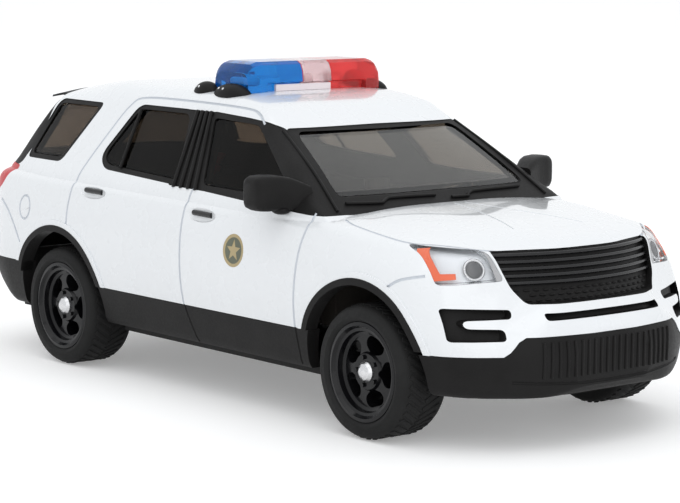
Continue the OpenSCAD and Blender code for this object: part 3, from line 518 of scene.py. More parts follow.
def read(table, k, x):
    """Column k at x, by cubic steps that never overshoot."""
    i = 0
    while i < len(table) - 2 and x > table[i + 1][0]:
        i += 1
    h = table[i + 1][0] - table[i][0]
    t = (x - table[i][0]) / h
    ends = table[i][k] * (1 + 2 * t) * (1 - t) ** 2 + table[i + 1][k] * t * t * (3 - 2 * t)
    return ends + h * t * (1 - t) * (lean(table, k, i) * (1 - t) - lean(table, k, i + 1) * t)


def toward(a, b, d):
    """The point at distance d from a on the way to b, short of the middle."""
    reach = (b - a).length
    return a + (b - a) * min(d / max(reach, 0.001), 0.48)


def bend(before, corner, after, setback, n):
    """A corner rounded by a setback, as points in n steps."""
    a, b = toward(corner, before, setback), toward(corner, after, setback)
    steps = [j / n for j in range(n + 1)]
    return [a * (1 - t) ** 2 + corner * (2 * t * (1 - t)) + b * (t * t) for t in steps]


def half_outline(corners, soft, n):
    """Half a section, each corner rounded by its own setback in n steps."""
    points = [corners[0]]
    for i in range(1, len(corners) - 1):
        points += bend(corners[i - 1], corners[i], corners[i + 1], soft[i], n)
    points.append(corners[-1])
    return points


def lower_corners(x, d, drop):
    """Corners of half the lower section at x, drawn in by d, its foot let down by the drop."""
    y = [max(read(LOWER, k, x) - d, 0.4) for k in range(1, 6)]
    z = [read(LOWER, k, x) for k in range(6, 12)]
    pairs = [
        (0, z[0] - drop),
        (y[0], z[0] - drop),
        (y[1], z[1]),
        (y[2], z[2] - d * 0.3),
        (y[3], z[3] - d * 0.8),
        (y[4], z[4] - d),
        (y[4] * 0.5, z[5] - d),
        (0, z[5] - d),
    ]
    return [Vector(p) for p in pairs]


def roof_flat(x):
    """The share of the roof's half width that is nearly flat: more along the roof than at its ends."""
    return 0.5 + 0.34 * max(0.0, min(1.0, (x + 27) / 6, (9 - x) / 5))


def glass_corners(x, d):
    """Corners of half the glasshouse section at x, drawn in by d."""
    y = [read(GLASSHOUSE, k, x) - d for k in (1, 2)]
    z = [read(GLASSHOUSE, k, x) - d for k in (3, 4)]
    pairs = [
        (0, BELT_H - 3),
        (y[0] + 0.2, BELT_H - 3),
        (y[0], min(BELT_H, z[0] - 0.1)),
        (y[1], z[0]),
        (y[1] * roof_flat(x), z[1]),
        (0, z[1]),
    ]
    return [Vector(p) for p in pairs]


def stations(table, n):
    """Places along X: the rows of a table, with n steps between each two."""
    steps = [a[0] + (b[0] - a[0]) * j / n for a, b in zip(table, table[1:]) for j in range(n)]
    return steps + [table[-1][0]]


def loft(name, xs, halves, material):
    """A closed skin through sections along X, each given as its left half."""
    rings = [half + [Vector((-p.x, p.y)) for p in reversed(half[1:-1])] for half in halves]
    return skin_rings(name, [[(x, p.x, p.y) for p in ring] for x, ring in zip(xs, rings)], material)


def form(d, material, drop=0.0, steps=6, arcs=7):
    """The whole outer form drawn in by d."""
    xs = stations(LOWER, steps)
    halves = [half_outline(lower_corners(x, d, drop), LOWER_SOFT, arcs) for x in xs]
    lower = loft("form", [x * (1 - d / NOSE) for x in xs], halves, material)
    xs = stations(GLASSHOUSE, steps)
    middle = (xs[0] + xs[-1]) / 2
    reach = xs[-1] - middle
    halves = [half_outline(glass_corners(x, d), GLASS_SOFT, arcs) for x in xs]
    upper = loft("upper", [middle + (x - middle) * (1 - d / reach) for x in xs], halves, material)
    return join(lower, upper)


def prism(outline, place_point, low, high, name, material):
    """A flat outline pushed between two places, where place_point turns (u, v, w) into x, y, z."""
    n = len(outline)
    points = [place_point(u, v, low) for u, v in outline] + [place_point(u, v, high) for u, v in outline]
    faces = [tuple(range(n)), tuple(range(n, 2 * n))]
    faces += [(i, (i + 1) % n, n + (i + 1) % n, n + i) for i in range(n)]
    return make_object(name, mesh_from(name, points, faces), material)


def from_side(outline, material, low=-FAR, high=FAR):
    """A prism of an outline in X and Z."""
    return prism(outline, lambda u, v, w: (u, w, v), low, high, "side_prism", material)


def from_front(outline, material, low, high):
    """A prism of an outline in Y and Z."""
    return prism(outline, lambda u, v, w: (w, u, v), low, high, "front_prism", material)


def from_top(outline, material, low, high):
    """A prism of an outline in X and Y."""
    return prism(outline, lambda u, v, w: (u, v, w), low, high, "top_prism", material)


def rounded(points, radius, n=6):
    """A closed outline with its corners rounded by a setback."""
    corners = [Vector(p) for p in points]
    out = []
    for i, corner in enumerate(corners):
        after = corners[(i + 1) % len(corners)]
        out += [tuple(p) for p in bend(corners[i - 1], corner, after, radius, n)]
    return out


def grown(points, d):
    """A convex outline moved outwards by d."""
    corners = [Vector(p) for p in points]
    turn = sum(a.x * b.y - b.x * a.y for a, b in zip(corners, corners[1:] + corners[:1]))
    side = 1.0 if turn > 0 else -1.0
    out = []
    for i, p in enumerate(corners):
        before = (p - corners[i - 1]).normalized()
        after = (corners[(i + 1) % len(corners)] - p).normalized()
        first = Vector((before.y, -before.x)) * side
        second = Vector((after.y, -after.x)) * side
        middle = (first + second).normalized()
        out.append(p + middle * (d / max(middle.dot(first), 0.3)))
    return [tuple(p) for p in out]


def ellipse(u, v, a, b, n=28):
    """A closed outline of n points round (u, v)."""
    turns = [math.tau * i / n for i in range(n)]
    return [(u + a * math.cos(t), v + b * math.sin(t)) for t in turns]


def mirrored(points):
    """An outline on the other side of the middle."""
    return [(-u, v) for u, v in reversed(points)]


# Outlines shared by the casting and what sits in it

FRONT_GLASS = [(3.9, 24.45), (12.9, 18.8), (6.4, 18.9), (-0.1, 19.0), (-2.75, 24.7)]
REAR_GLASS = [(-14.5, 24.8), (-6.5, 24.8), (-4.2, 19.1), (-15.8, 19.6), (-16.8, 20.5)]
QUARTER_GLASS = [(-28.1, 24.6), (-21.2, 24.6), (-23.7, 19.7), (-29.4, 19.7)]
SCREEN = [(-11, 19.05), (11, 19.05), (9.25, 24.05), (0, 23.98), (-9.25, 24.05)]
SCREEN_BAND = [(-12.2, 17.9), (12.2, 17.9), (9.95, 24.32), (0, 24.38), (-9.95, 24.32)]
BACK_GLASS = [(-11.4, 19.7), (11.4, 19.7), (9.3, 24.6), (-9.3, 24.6)]
GRILLE = [(-9.05, 16.05), (9.05, 16.05), (8.3, 13.2), (7.35, 11.9), (-7.35, 11.9), (-8.3, 13.2)]
LAMP = [(9.3, 16.1), (8.6, 13.75), (13.6, 13.5), (13.4, 16.5)]
TAIL_LAMP = [
    (TAIL + 6.6, BELT_H + 0.4), (TAIL + 4.6, BELT_H - 1.6), (TAIL + 1.6, BELT_H - 3.4),
    (TAIL - 1, BELT_H - 3.2), (TAIL - 1, BELT_H + 0.6),
]
# Outline, corner setback and finish of each pair of side windows
SIDE_WINDOWS = {
    "front_door_windows": (FRONT_GLASS, 0.6, SMOKED_GLASS),
    "rear_door_windows": (REAR_GLASS, 0.9, SMOKED_GLASS),
    "quarter_windows": (QUARTER_GLASS, 0.6, QUARTER_PLASTIC),
}
# Outline, corner setback, finish, and the stretch along the car of the windows at its ends
END_WINDOWS = {
    "windscreen": (SCREEN, 0.8, SCREEN_GLASS, 5, 30),
    "rear_window": (BACK_GLASS, 0.9, SMOKED_GLASS, -FAR, TAIL + 9.4),
}
NOSE_CORNER = 0.4
GRILLE_BACK = NOSE - 8
LAMP_BACK = NOSE - 10.5
TAIL_LAMP_IN = 9
VALANCE_STEP = [(10.3, SILL_H - 0.25), (9.8, SILL_H + 0.1), (9.1, 9.1), (8.5, 9.45)]
VALANCE_CORNER_H = SILL_H - 0.3
VALANCE_TAIL_H = SILL_H + 1
VALANCE_GAP = 0.03


def window_cutters(material):
    """The openings of all the windows."""
    shapes = [from_side(rounded(outline, r), material) for outline, r, _ in SIDE_WINDOWS.values()]
    for outline, r, _, low, high in END_WINDOWS.values():
        shapes.append(from_front(rounded(outline, r), material, low, high))
    return shapes


def level_band(foot, top, low, high, material):
    """All that lies between two heights and two places along the car."""
    return from_front([(-FAR, foot), (FAR, foot), (FAR, top), (-FAR, top)], material, low, high)


def valance_zone(d, material):
    """The dark lower part of the form: high across the middle of the nose, lower at the corners."""
    step = [(u, v + d) for u, v in VALANCE_STEP]
    corner = VALANCE_CORNER_H + d
    outline = [(-FAR, 0), (FAR, 0), (FAR, corner), *step, *mirrored(step), (-FAR, corner)]
    nose = from_front(outline, material, FRONT_X, FAR)
    tail = level_band(0, VALANCE_TAIL_H + d, -FAR, REAR_X, material)
    middle = level_band(0, SILL_H + d, REAR_X - 0.1, FRONT_X + 0.1, material)
    return join(join(nose, tail), middle)


def arches(r, material):
    """Two long drums round the axles."""
    drums = [from_side(ellipse(x + ARCH_SHIFT, AXLE_H, r, r, 96), material) for x in (FRONT_X, REAR_X)]
    return join(*drums)


def skin(outer, inner, material):
    """The part of the form between two depths, open at its foot."""
    return cut(form(outer, material), form(inner, material, drop=OPEN_FOOT))


# Paths on the form, for seams and small pieces


def smooth_path(points, step=0.35):
    """Points along a smooth curve through the given ones, close together."""
    corners = [Vector(p) for p in points]
    out = []
    for i in range(len(corners) - 1):
        a, b = corners[max(i - 1, 0)], corners[i]
        c, d = corners[i + 1], corners[min(i + 2, len(corners) - 1)]
        n = max(2, int((c - b).length / step))
        for j in range(n):
            t = j / n
            point = 2 * b + (c - a) * t
            point += (2 * a - 5 * b + 4 * c - d) * t**2
            point += (3 * b - a - 3 * c + d) * t**3
            out.append(0.5 * point)
    return out + [corners[-1]]


# Start of a ray for each view, and its direction
VIEWS = {
    "right": (lambda u, v: (u, -FAR, v), (0, 1, 0)),
    "top": (lambda u, v: (u, v, FAR), (0, 0, -1)),
    "front": (lambda u, v: (FAR, u, v), (-1, 0, 0)),
    "rear": (lambda u, v: (-FAR, u, v), (1, 0, 0)),
}


def on_form(u, v, view):
    """The point of the outer form, in millimetres, behind a place in one view, with its normal."""
    start, direction = VIEWS[view]
    spot, normal, _, _ = FORM_TREE.ray_cast(Vector(start(u, v)) * MM, Vector(direction))
    return (spot / MM, normal) if spot else (None, None)


def path_on_form(points, view):
    """A smooth path laid on the form, as points with their normals."""
    hits = [on_form(p.x, p.y, view) for p in smooth_path(points)]
    return [hit for hit in hits if hit[0] is not None]


def tube(name, spots, radius, material, sides=8):
    """A closed tube along points with their normals, in millimetres."""
    points, n = [], len(spots)
    for i, (spot, normal) in enumerate(spots):
        along = (spots[min(i + 1, n - 1)][0] - spots[max(i - 1, 0)][0]).normalized()
        aside = along.cross(normal).normalized()
        up = aside.cross(along)
        for j in range(sides):
            a = math.tau * j / sides
            points.append(spot + (aside * math.cos(a) + up * math.sin(a)) * radius)
    faces = [
        (i * sides + j, i * sides + (j + 1) % sides, (i + 1) * sides + (j + 1) % sides, (i + 1) * sides + j)
        for i in range(n - 1)
        for j in range(sides)
    ]
    faces += [tuple(range(sides)), tuple(range((n - 1) * sides, n * sides))]
    return make_object(name, mesh_from(name, points, faces), material)


def both_sides(spots):
    """A path on the right side, and its mirror image on the left."""
    flip = [(Vector((p.x, -p.y, p.z)), Vector((n.x, -n.y, n.z))) for p, n in spots]
    return [spots, flip]


# The casting

SEAM_R = 0.13
SEAM_LOW = SILL_H - 0.2
DOOR_SEAMS = [
    [(16.0, 18.0), (15.5, 16.4), (15.2, 14.8), (14.8, 11.0), (14.7, SEAM_LOW)],
    [(-1.2, 18.6), (-1.55, 16.0), (-1.4, 10.7), (-1.15, SEAM_LOW)],
    [(4.6, 24.6), (3.2, 25.4), (0.8, 25.75), (-7, 25.9), (-14.4, 25.8), (-16.2, 25.0), (-17.6, 22.6),
     (-19.2, 19.0), (-19.8, 16.2), (-19.9, 13.7)],
    [(-32.4, 15.0), (-30.9, 14.2), (-29.4, 12.7), (-28.3, 11.1)],
    [(26.3, 12.9), (27.6, 13.7), (29.7, 14.2)],
]
BONNET_SEAM = [
    (18.4, 12.7), (20.0, 13.2), (24.0, 13.35), (26.4, 13.2), (28.0, 12.6), (30.4, 10.6), (32.0, 8.6),
    (33.4, 5.2), (33.9, 2.4), (34.0, 0.0),
]
BONNET_CREASE = [(18.6, 0.6), (22.0, 1.45), (26.6, 2.95), (29.6, 4.1)]
GATE_SEAM = [(11.6, SILL_H + 2.6), (11.3, BELT_H - 3.6), (11.4, BELT_H - 1.4)]
BONNET_SEAM_R = SEAM_R * 0.85
FUEL_DOOR = (-27.5, 14.6, 0.95, 1.13)
FUEL_SEAM_R = SEAM_R * 0.9
FOG_POCKET = [
    (8.7, 11.55), (13.9, 11.8), (13.7, 9.15), (9.9, 9.2), (9.8, 10.1), (12.4, 10.2), (12.6, 10.5),
    (12.4, 10.8), (8.9, 10.85),
]
FOG_DEPTH = 0.5
BUMPER_SLOT = [(-6.5, 10.68), (6.5, 10.68), (6.5, 11.24), (-6.5, 11.24)]
BUMPER_SLOT_DEPTH = 0.45
SCREEN_PILLAR = [
    (-3.2, 25.25), (2.2, 25.0), (4.8, 24.8), (6.6, 24.35), (17.9, 18.6), (17.9, 17.8), (15.4, 17.75),
    (-0.4, 18.55),
]
DOOR_PILLAR = [(-7.2, 25.2), (-2.2, 25.2), (0.6, 18.5), (-5.0, 18.6)]
GATE_PILLAR = [(-28.8, 25.0), (-30.25, 19.5), (-34.9, 19.5), (-31.7, 25.0)]
# Outline, corner setback and inner limit, from the car's middle, of each dark pillar
PILLARS = [(SCREEN_PILLAR, 0.5, 9.2), (DOOR_PILLAR, 0.2, 9.2), (GATE_PILLAR, 0.3, 7.0)]
# Outline and corner setback of each window with a dark frame round it
FRAMED = [(REAR_GLASS, 1.0), (QUARTER_GLASS, 0.7)]
FRAME_W = 0.42
BACK_FRAME_W = 1.5
BACK_FRAME_X = TAIL + 8.4
SCREEN_BAND_X = (5, 17.9)
TRIM_DEPTH = 0.05
HANDLES = [(1.1, BELT_H - 1.4), (-16.1, BELT_H - 0.85)]
HANDLE_REACH = 1.35
HANDLE_TILT = 0.03
HANDLE_R = 0.25
HANDLE_IN = 0.14
SCOOP = (2.2, 0.36, 0.75)
SCOOP_OUT = 0.12
EMBLEM = (6.3, 13.9)
EMBLEM_R = 1.45
FLARE_OUT = 0.16
FLARE_W = 0.5
FLARE_IN = 13


def middle_slab(half_width, material):
    """All that lies within a distance of the car's middle plane."""
    w = half_width
    return from_top([(-FAR, -w), (FAR, -w), (FAR, w), (-FAR, w)], material, -5, FAR)


def paint(casting, region, depth, finish):
    """Colours the casting inside a region by letting it in by a hair."""
    cut(region, form(depth, finish, drop=OPEN_FOOT))
    cut(casting, region)


def paint_dark_trim(casting):
    """Dark window frames, pillars and bands round the windscreen and the rear window."""
    for outline, r in FRAMED:
        frame_zone = from_side(rounded(grown(outline, FRAME_W), r), DARK_SATIN)
        paint(casting, frame_zone, TRIM_DEPTH, DARK_SATIN)
    for outline, r, inner in PILLARS:
        sides = cut(from_side(rounded(outline, r), DARK_SATIN), middle_slab(inner, DARK_SATIN))
        paint(casting, sides, TRIM_DEPTH, DARK_SATIN)
    band = from_front(rounded(SCREEN_BAND, 0.5), DARK_SATIN, *SCREEN_BAND_X)
    paint(casting, band, TRIM_DEPTH, DARK_SATIN)
    back = from_front(rounded(grown(BACK_GLASS, BACK_FRAME_W), 0.9), DARK_SATIN, -FAR, BACK_FRAME_X)
    paint(casting, back, TRIM_DEPTH, DARK_SATIN)


def star(u, v, r, n=5, waist=0.42):
    """A star's outline with one point upwards."""
    turns = [(math.pi * (0.5 + i / n), r if i % 2 == 0 else r * waist) for i in range(2 * n)]
    return [(u + reach * math.cos(a), v + reach * math.sin(a)) for a, reach in turns]


def paint_emblem(casting):
    """A plain star in a ring on each front door."""
    u, v = EMBLEM
    # Outline, depth and finish, from the ring inwards
    layers = (
        (ellipse(u, v, EMBLEM_R, EMBLEM_R), 0.02, EMBLEM_TAN),
        (ellipse(u, v, EMBLEM_R * 0.8, EMBLEM_R * 0.8), 0.03, EMBLEM_OLIVE),
        (star(u, v, EMBLEM_R * 0.68), 0.04, EMBLEM_TAN),
    )
    for outline, depth, finish in layers:
        paint(casting, from_side(outline, finish), depth, finish)


def cut_seams(casting):
    """Thin grooves round the doors, the bonnet, the tailgate and the fuel door, their walls in painted
    shade, and the bonnet's creases.
    """
    lines = [(points, "right", SEAM_R, PAINTED_SEAM_SHADE) for points in DOOR_SEAMS]
    lines.append((BONNET_SEAM, "top", BONNET_SEAM_R, PAINTED_SEAM_SHADE))
    lines.append((BONNET_CREASE, "top", BONNET_SEAM_R, WHITE_PAINT))
    lines.append((GATE_SEAM, "rear", SEAM_R, PAINTED_SEAM_SHADE))
    for points, view, radius, finish in lines:
        for spots in both_sides(path_on_form(points, view)):
            cut(casting, tube("seam", spots, radius, finish))
    rim = ellipse(*FUEL_DOOR)
    cut(casting, tube("seam", path_on_form(rim + rim[:1], "right"), FUEL_SEAM_R, PAINTED_SEAM_SHADE))


def cut_handle_scoops(casting):
    """A shallow dish behind each door handle."""
    for u, v in HANDLES:
        spot, _ = on_form(u, v, "right")
        for side in (1, -1):
            scoop = ball("scoop", SCOOP, WHITE_PAINT)
            move(scoop, (spot.x, side * (spot.y - SCOOP_OUT), spot.z))
            cut(casting, scoop)


def tail_lamp_zone(material, d=0.0):
    """The corners of the tail that the lamps fill, grown by d."""
    zone = from_side(rounded(grown(TAIL_LAMP, d), 0.5), material)
    return cut(zone, middle_slab(TAIL_LAMP_IN, material))


def painted_casting():
    """The white casting with flared arches, openings, dark trim, seams and emblems."""
    casting = form(0, WHITE_PAINT)
    flares = keep(form(-FLARE_OUT, WHITE_PAINT), arches(ARCH_R + FLARE_W, WHITE_PAINT))
    cut(flares, middle_slab(FLARE_IN, WHITE_PAINT))
    join(casting, flares)
    cut(casting, form(WALL, DARK_SATIN, drop=OPEN_FOOT))
    cut_handle_scoops(casting)
    paint_dark_trim(casting)
    for cutter in window_cutters(DARK_SATIN):
        cut(casting, cutter)
    cut(casting, valance_zone(VALANCE_GAP, WHITE_PAINT))
    cut(casting, arches(ARCH_R, WHITE_PAINT))
    cut(casting, from_front(rounded(GRILLE, NOSE_CORNER), DARK_SATIN, GRILLE_BACK, FAR))
    for outline in (LAMP, mirrored(LAMP)):
        cut(casting, from_front(rounded(outline, NOSE_CORNER), WHITE_PAINT, LAMP_BACK - 0.1, FAR))
    for outline in (FOG_POCKET, mirrored(FOG_POCKET)):
        pocket = from_front(rounded(outline, 0.35), DARK_SATIN, GRILLE_BACK - 1, FAR)
        paint(casting, pocket, FOG_DEPTH, DARK_SATIN)
    slot = from_front(rounded(BUMPER_SLOT, 0.27), DARK_SATIN, GRILLE_BACK, FAR)
    paint(casting, slot, BUMPER_SLOT_DEPTH, DARK_SATIN)
    cut(casting, tail_lamp_zone(WHITE_PAINT))
    cut_seams(casting)
    paint_emblem(casting)
    return smooth(casting)


plain_form = form(0, WHITE_PAINT)
FORM_TREE = BVHTree.FromObject(plain_form, bpy.context.evaluated_depsgraph_get())
bpy.data.objects.remove(plain_form)
body = painted_casting()
body.name = "painted_body"
place(body, "car", "white_paint", "body_shell")


# Windows

PANE_DEPTH = (0.16, 0.6)
PANE_GAP = 0.05
# Flutes of the middle pillar: the first one's ends, and the steps at top and foot to the next
FLUTES = 4
FLUTE_TOP = (-5.5, 25.15)
FLUTE_FOOT = (-4.1, 18.5)
FLUTE_PITCH = (0.68, 1.1)
FLUTE_R = 0.2
WINDOW_BAR = [(-14.2, 24.75), (-13.3, 19.45)]
WINDOW_BAR_R = 0.16
RIDGE_OUT = 0.02
SCREEN_RIDGE = [(-10.15, 24.2), (-11.25, 21.1), (-12.25, 18.1)]
SCREEN_RIDGE_R = 0.13
WIPERS = [
    [(-10.9, 18.6), (-7.2, 18.5), (-6.3, 18.8), (-1.0, 18.75)],
    [(0.6, 18.5), (2.6, 18.5), (3.4, 18.8), (9.6, 18.85)],
]
WIPER_R = 0.14
WIPER_OUT = 0.04


def add_pane(name, finish, cutter):
    """A sheet of clear plastic that follows the form inside a cutter."""
    glass = smooth(keep(skin(*PANE_DEPTH, finish), cutter))
    glass.name = name
    place(glass, "car", "smoked_glass", "window_moulding")


def add_windows():
    """All the panes, each a little smaller than its opening."""
    for name, (outline, r, finish) in SIDE_WINDOWS.items():
        add_pane(name, finish, from_side(rounded(grown(outline, -PANE_GAP), r), finish))
    for name, (outline, r, finish, low, high) in END_WINDOWS.items():
        add_pane(name, finish, from_front(rounded(grown(outline, -PANE_GAP), r), finish, low, high))


def lifted(spots, out):
    """Points of a path on the form, moved out along the normals."""
    return [spot + normal * out for spot, normal in spots]


def add_pillar_ridges():
    """Flutes on the middle pillar, a bar in the rear door window and a ridge up each windscreen pillar."""
    tops = [(FLUTE_TOP[0] + FLUTE_PITCH[0] * i, FLUTE_TOP[1]) for i in range(FLUTES)]
    feet = [(FLUTE_FOOT[0] + FLUTE_PITCH[1] * i, FLUTE_FOOT[1]) for i in range(FLUTES)]
    flutes = [[top, foot] for top, foot in zip(tops, feet)]
    for name, lines, r in (("pillar_flutes", flutes, FLUTE_R), ("window_bars", [WINDOW_BAR], WINDOW_BAR_R)):
        paths = []
        for line in lines:
            paths += [lifted(spots, RIDGE_OUT) for spots in both_sides(path_on_form(line, "right"))]
        place(beads(name, paths, r, DARK_SATIN), "car", "dark_plastic")
    stops = [on_form(y, z, "front") for y, z in SCREEN_RIDGE]
    ridges = [smooth_path(lifted(side, 0.0)) for side in both_sides(stops)]
    place(beads("screen_pillar_ridges", ridges, SCREEN_RIDGE_R, DARK_SATIN), "car", "dark_plastic")


def add_wipers():
    """Two wipers moulded at the foot of the windscreen, each with a raised blade."""
    arms = [lifted(path_on_form(line, "front"), WIPER_OUT) for line in WIPERS]
    place(beads("wipers", arms, WIPER_R, DARK_SATIN), "car", "dark_plastic")


def add_handles():
    """A dark grip in each door's dish."""
    paths = []
    for u, v in HANDLES:
        ends = [(u - HANDLE_REACH, v + HANDLE_TILT), (u + HANDLE_REACH, v - HANDLE_TILT)]
        paths += [lifted(side, -HANDLE_IN) for side in both_sides(path_on_form(ends, "right"))]
    place(beads("door_handles", paths, HANDLE_R, DARK_GLOSS), "car", "dark_plastic")


add_pillar_ridges()
add_wipers()
add_handles()
add_windows()


# Dark lower mouldings

MOULDING_DEPTH = (0.04, 1.5)
CREASE = [(-9.6, 5.9), (-5, 5.6), (0, 5.5), (5, 5.6), (9.6, 5.9)]
CREASE_R = 0.16
RIBS_A_SIDE = 10
RIB_PITCH = 0.72
RIB_FOOT = 6.1
RIB_TOP = 9.0
RIB_R = 0.13
RIB_IN = 0.04
SILL_SEAMS = [
    [(-1.15, SILL_H + 0.3), (-0.9, 7.4), (0.1, 4.9)],
    [(14.7, SILL_H + 0.3), (14.9, 5)],
]
SILL_IN = 5
LIP_DEPTH = (-0.22, 1.2)
LIP_GAP = 0.02
LIP_H = 6
LIP_IN = 12.6


def dark_skin(low, high, foot=DECK_H):
    """The dark lower skin between two places along the car, open round the wheels."""
    part = keep(skin(*MOULDING_DEPTH, DARK_SATIN), valance_zone(-VALANCE_GAP, DARK_SATIN))
    keep(part, level_band(foot, FAR, low, high, DARK_SATIN))
    return cut(part, arches(OPENING_R, DARK_SATIN))


def place_moulding(part, name, *nodes):
    """Smooths and names a dark moulding, and lets it stand for its nodes."""
    smooth(part)
    part.name = name
    place(part, "car", "dark_plastic", *nodes)


def add_front_valance():
    """The dark lower front: upright ribs above a crease and a plain lip."""
    front = dark_skin(FRONT_X + 2, FAR, foot=DECK_H - 0.3)
    cut(front, tube("crease", path_on_form(CREASE, "front"), CREASE_R, DARK_SATIN))
    place_moulding(front, "front_valance_moulding", "front_valance")
    places = [RIB_PITCH * i for i in range(-RIBS_A_SIDE, RIBS_A_SIDE + 1)]
    ribs = [lifted(path_on_form([(y, RIB_FOOT), (y, RIB_TOP)], "front"), -RIB_IN) for y in places]
    place(beads("valance_ribs", ribs, RIB_R, DARK_SATIN), "car", "dark_plastic")


def add_rear_valance():
    """The dark lower tail."""
    place_moulding(dark_skin(-FAR, REAR_X - 2), "rear_valance_moulding", "rear_valance")


def add_sills():
    """The dark sills, with the lower ends of the door seams."""
    sills = dark_skin(REAR_X + 2, FRONT_X - 2)
    cut(sills, middle_slab(SILL_IN, DARK_SATIN))
    for points in SILL_SEAMS:
        for spots in both_sides(path_on_form(points, "right")):
            cut(sills, tube("seam", spots, SEAM_R, DARK_SATIN))
    place_moulding(sills, "sill_mouldings", "sill_left", "sill_right")


def add_arch_lips():
    """A dark lip inside each wheel arch."""
    lips = keep(skin(*LIP_DEPTH, DARK_SATIN), arches(ARCH_R - LIP_GAP, DARK_SATIN))
    cut(lips, arches(OPENING_R, DARK_SATIN))
    keep(lips, level_band(SILL_H, SILL_H + LIP_H, -FAR, FAR, DARK_SATIN))
    cut(lips, middle_slab(LIP_IN, DARK_SATIN))
    place_moulding(lips, "arch_lips", "arch_mouldings")


add_front_valance()
add_rear_valance()
add_sills()
add_arch_lips()


# Grille

GRILLE_X = NOSE - 2.25
GRILLE_Z = 13.98
GRILLE_LIFT = 0.45
GRILLE_END = 9.05
# Depth and height of the back plate's corners
PLATE_SECTION = [(-0.5, 11.5), (-0.5, 16.4), (-1.2, 16.4), (-1.2, 11.5)]
PLATE_END = 9.4
GRILLE_BARS = [15.7, 15.15, 14.6, 14.05, 13.5]
GRILLE_BAR_R = 0.17
GRILLE_BAR_IN = 0.3
GRILLE_GAP = 0.05
CELL = (0.32, 0.12, 0.12)
CELL_ROWS = [12.9, 12.5, 12.1]
CELL_PITCH = 0.84
CELL_IN = 0.48


def on_grille(y, z, depth):
    """A point of the leaning drum that the grille follows, nearer the face towards its ends."""
    out = depth + GRILLE_LIFT * (y / GRILLE_END) ** 2
    angle = math.asin(y / GRILLE_R)
    reach = (GRILLE_R + out) * math.cos(angle) - GRILLE_R
    rise = (z - GRILLE_Z - reach * math.sin(GRILLE_LEAN)) / math.cos(GRILLE_LEAN)
    x = GRILLE_X + reach * math.cos(GRILLE_LEAN) - rise * math.sin(GRILLE_LEAN)
    return Vector((x, (GRILLE_R + out) * math.sin(angle), z))


def grille_half_width(z):
    """Half the width of the grille's outline at a height."""
    edge = sorted((v, u) for u, v in GRILLE if u > 0)
    for (low, a), (high, b) in zip(edge, edge[1:]):
        if z <= high:
            return a + (b - a) * max(z - low, 0) / (high - low)
    return edge[-1][1]


def across(width, n=30):
    """Even places from one side of the middle to the other."""
    return [width * (2 * i / n - 1) for i in range(n + 1)]


def add_grille():
    """A dark back plate, five bars above and rows of small oval cells below."""
    rings = [[on_grille(y, z, depth) for depth, z in PLATE_SECTION] for y in across(PLATE_END)]
    plate = skin_rings("grille_plate", rings, DARK_SATIN)
    opening = rounded(grown(GRILLE, -0.03), NOSE_CORNER)
    keep(plate, from_front(opening, DARK_SATIN, GRILLE_BACK - 1, FAR))
    place(smooth(plate), "car", "dark_plastic", "grille")
    widths = [grille_half_width(z) - GRILLE_GAP for z in GRILLE_BARS]
    bars = [[on_grille(y, z, -GRILLE_BAR_IN) for y in across(w)] for z, w in zip(GRILLE_BARS, widths)]
    place(beads("grille_bars", bars, GRILLE_BAR_R, DARK_GLOSS), "car", "dark_plastic", "grille")
    spots = []
    for row, z in enumerate(CELL_ROWS):
        count = int((grille_half_width(z) - 0.5) / CELL_PITCH)
        for k in range(-count, count + 1):
            y = CELL_PITCH * (k + 0.5 * (row % 2))
            out = on_grille(y, z, 0.5) - on_grille(y, z, -0.5)
            spots.append((on_grille(y, z, -CELL_IN), out, (0, 1, 0)))
    cells = repeat("grille_cells", ball("cell", CELL, DARK_SATIN, 8, 14), spots, DARK_SATIN)
    place(cells, "car", "dark_plastic", "grille")


add_grille()


# Lamps

LAMP_GAP = 0.04
LENS_DEPTH = (0.08, 0.43)
LAMP_PAINT = (0.03, 0.075)
BOWL_DEPTH = (0.55, 1.2)
TAIL_LENS_DEPTH = (0.02, 1.2)
LAMP_EYE_AT = (10.6, 14.8)
LAMP_EYE_R = 0.72
LAMP_EYE_T = 0.16
LAMP_RING_OUT = 0.1
LAMP_RING_R = 0.13
LAMP_RING_STEPS = 32
MARKER = [(27.95, 16.2), (28.75, 16.3), (30.5, 14.38), (31.35, 14.42), (31.55, 13.98), (30.2, 13.8)]
LAMP_STRIP = [(9.5, 16.2), (9.2, 16.2), (8.4, 13.5), (9.15, 13.5)]


def lamp_layer(side, outer, inner, finish):
    """A layer of the lamp that follows the form between two depths, inside the lamp's outline."""
    shape = LAMP if side == "left" else mirrored(LAMP)
    outline = rounded(grown(shape, -LAMP_GAP), NOSE_CORNER)
    return keep(skin(outer, inner, finish), from_front(outline, finish, LAMP_BACK, FAR))


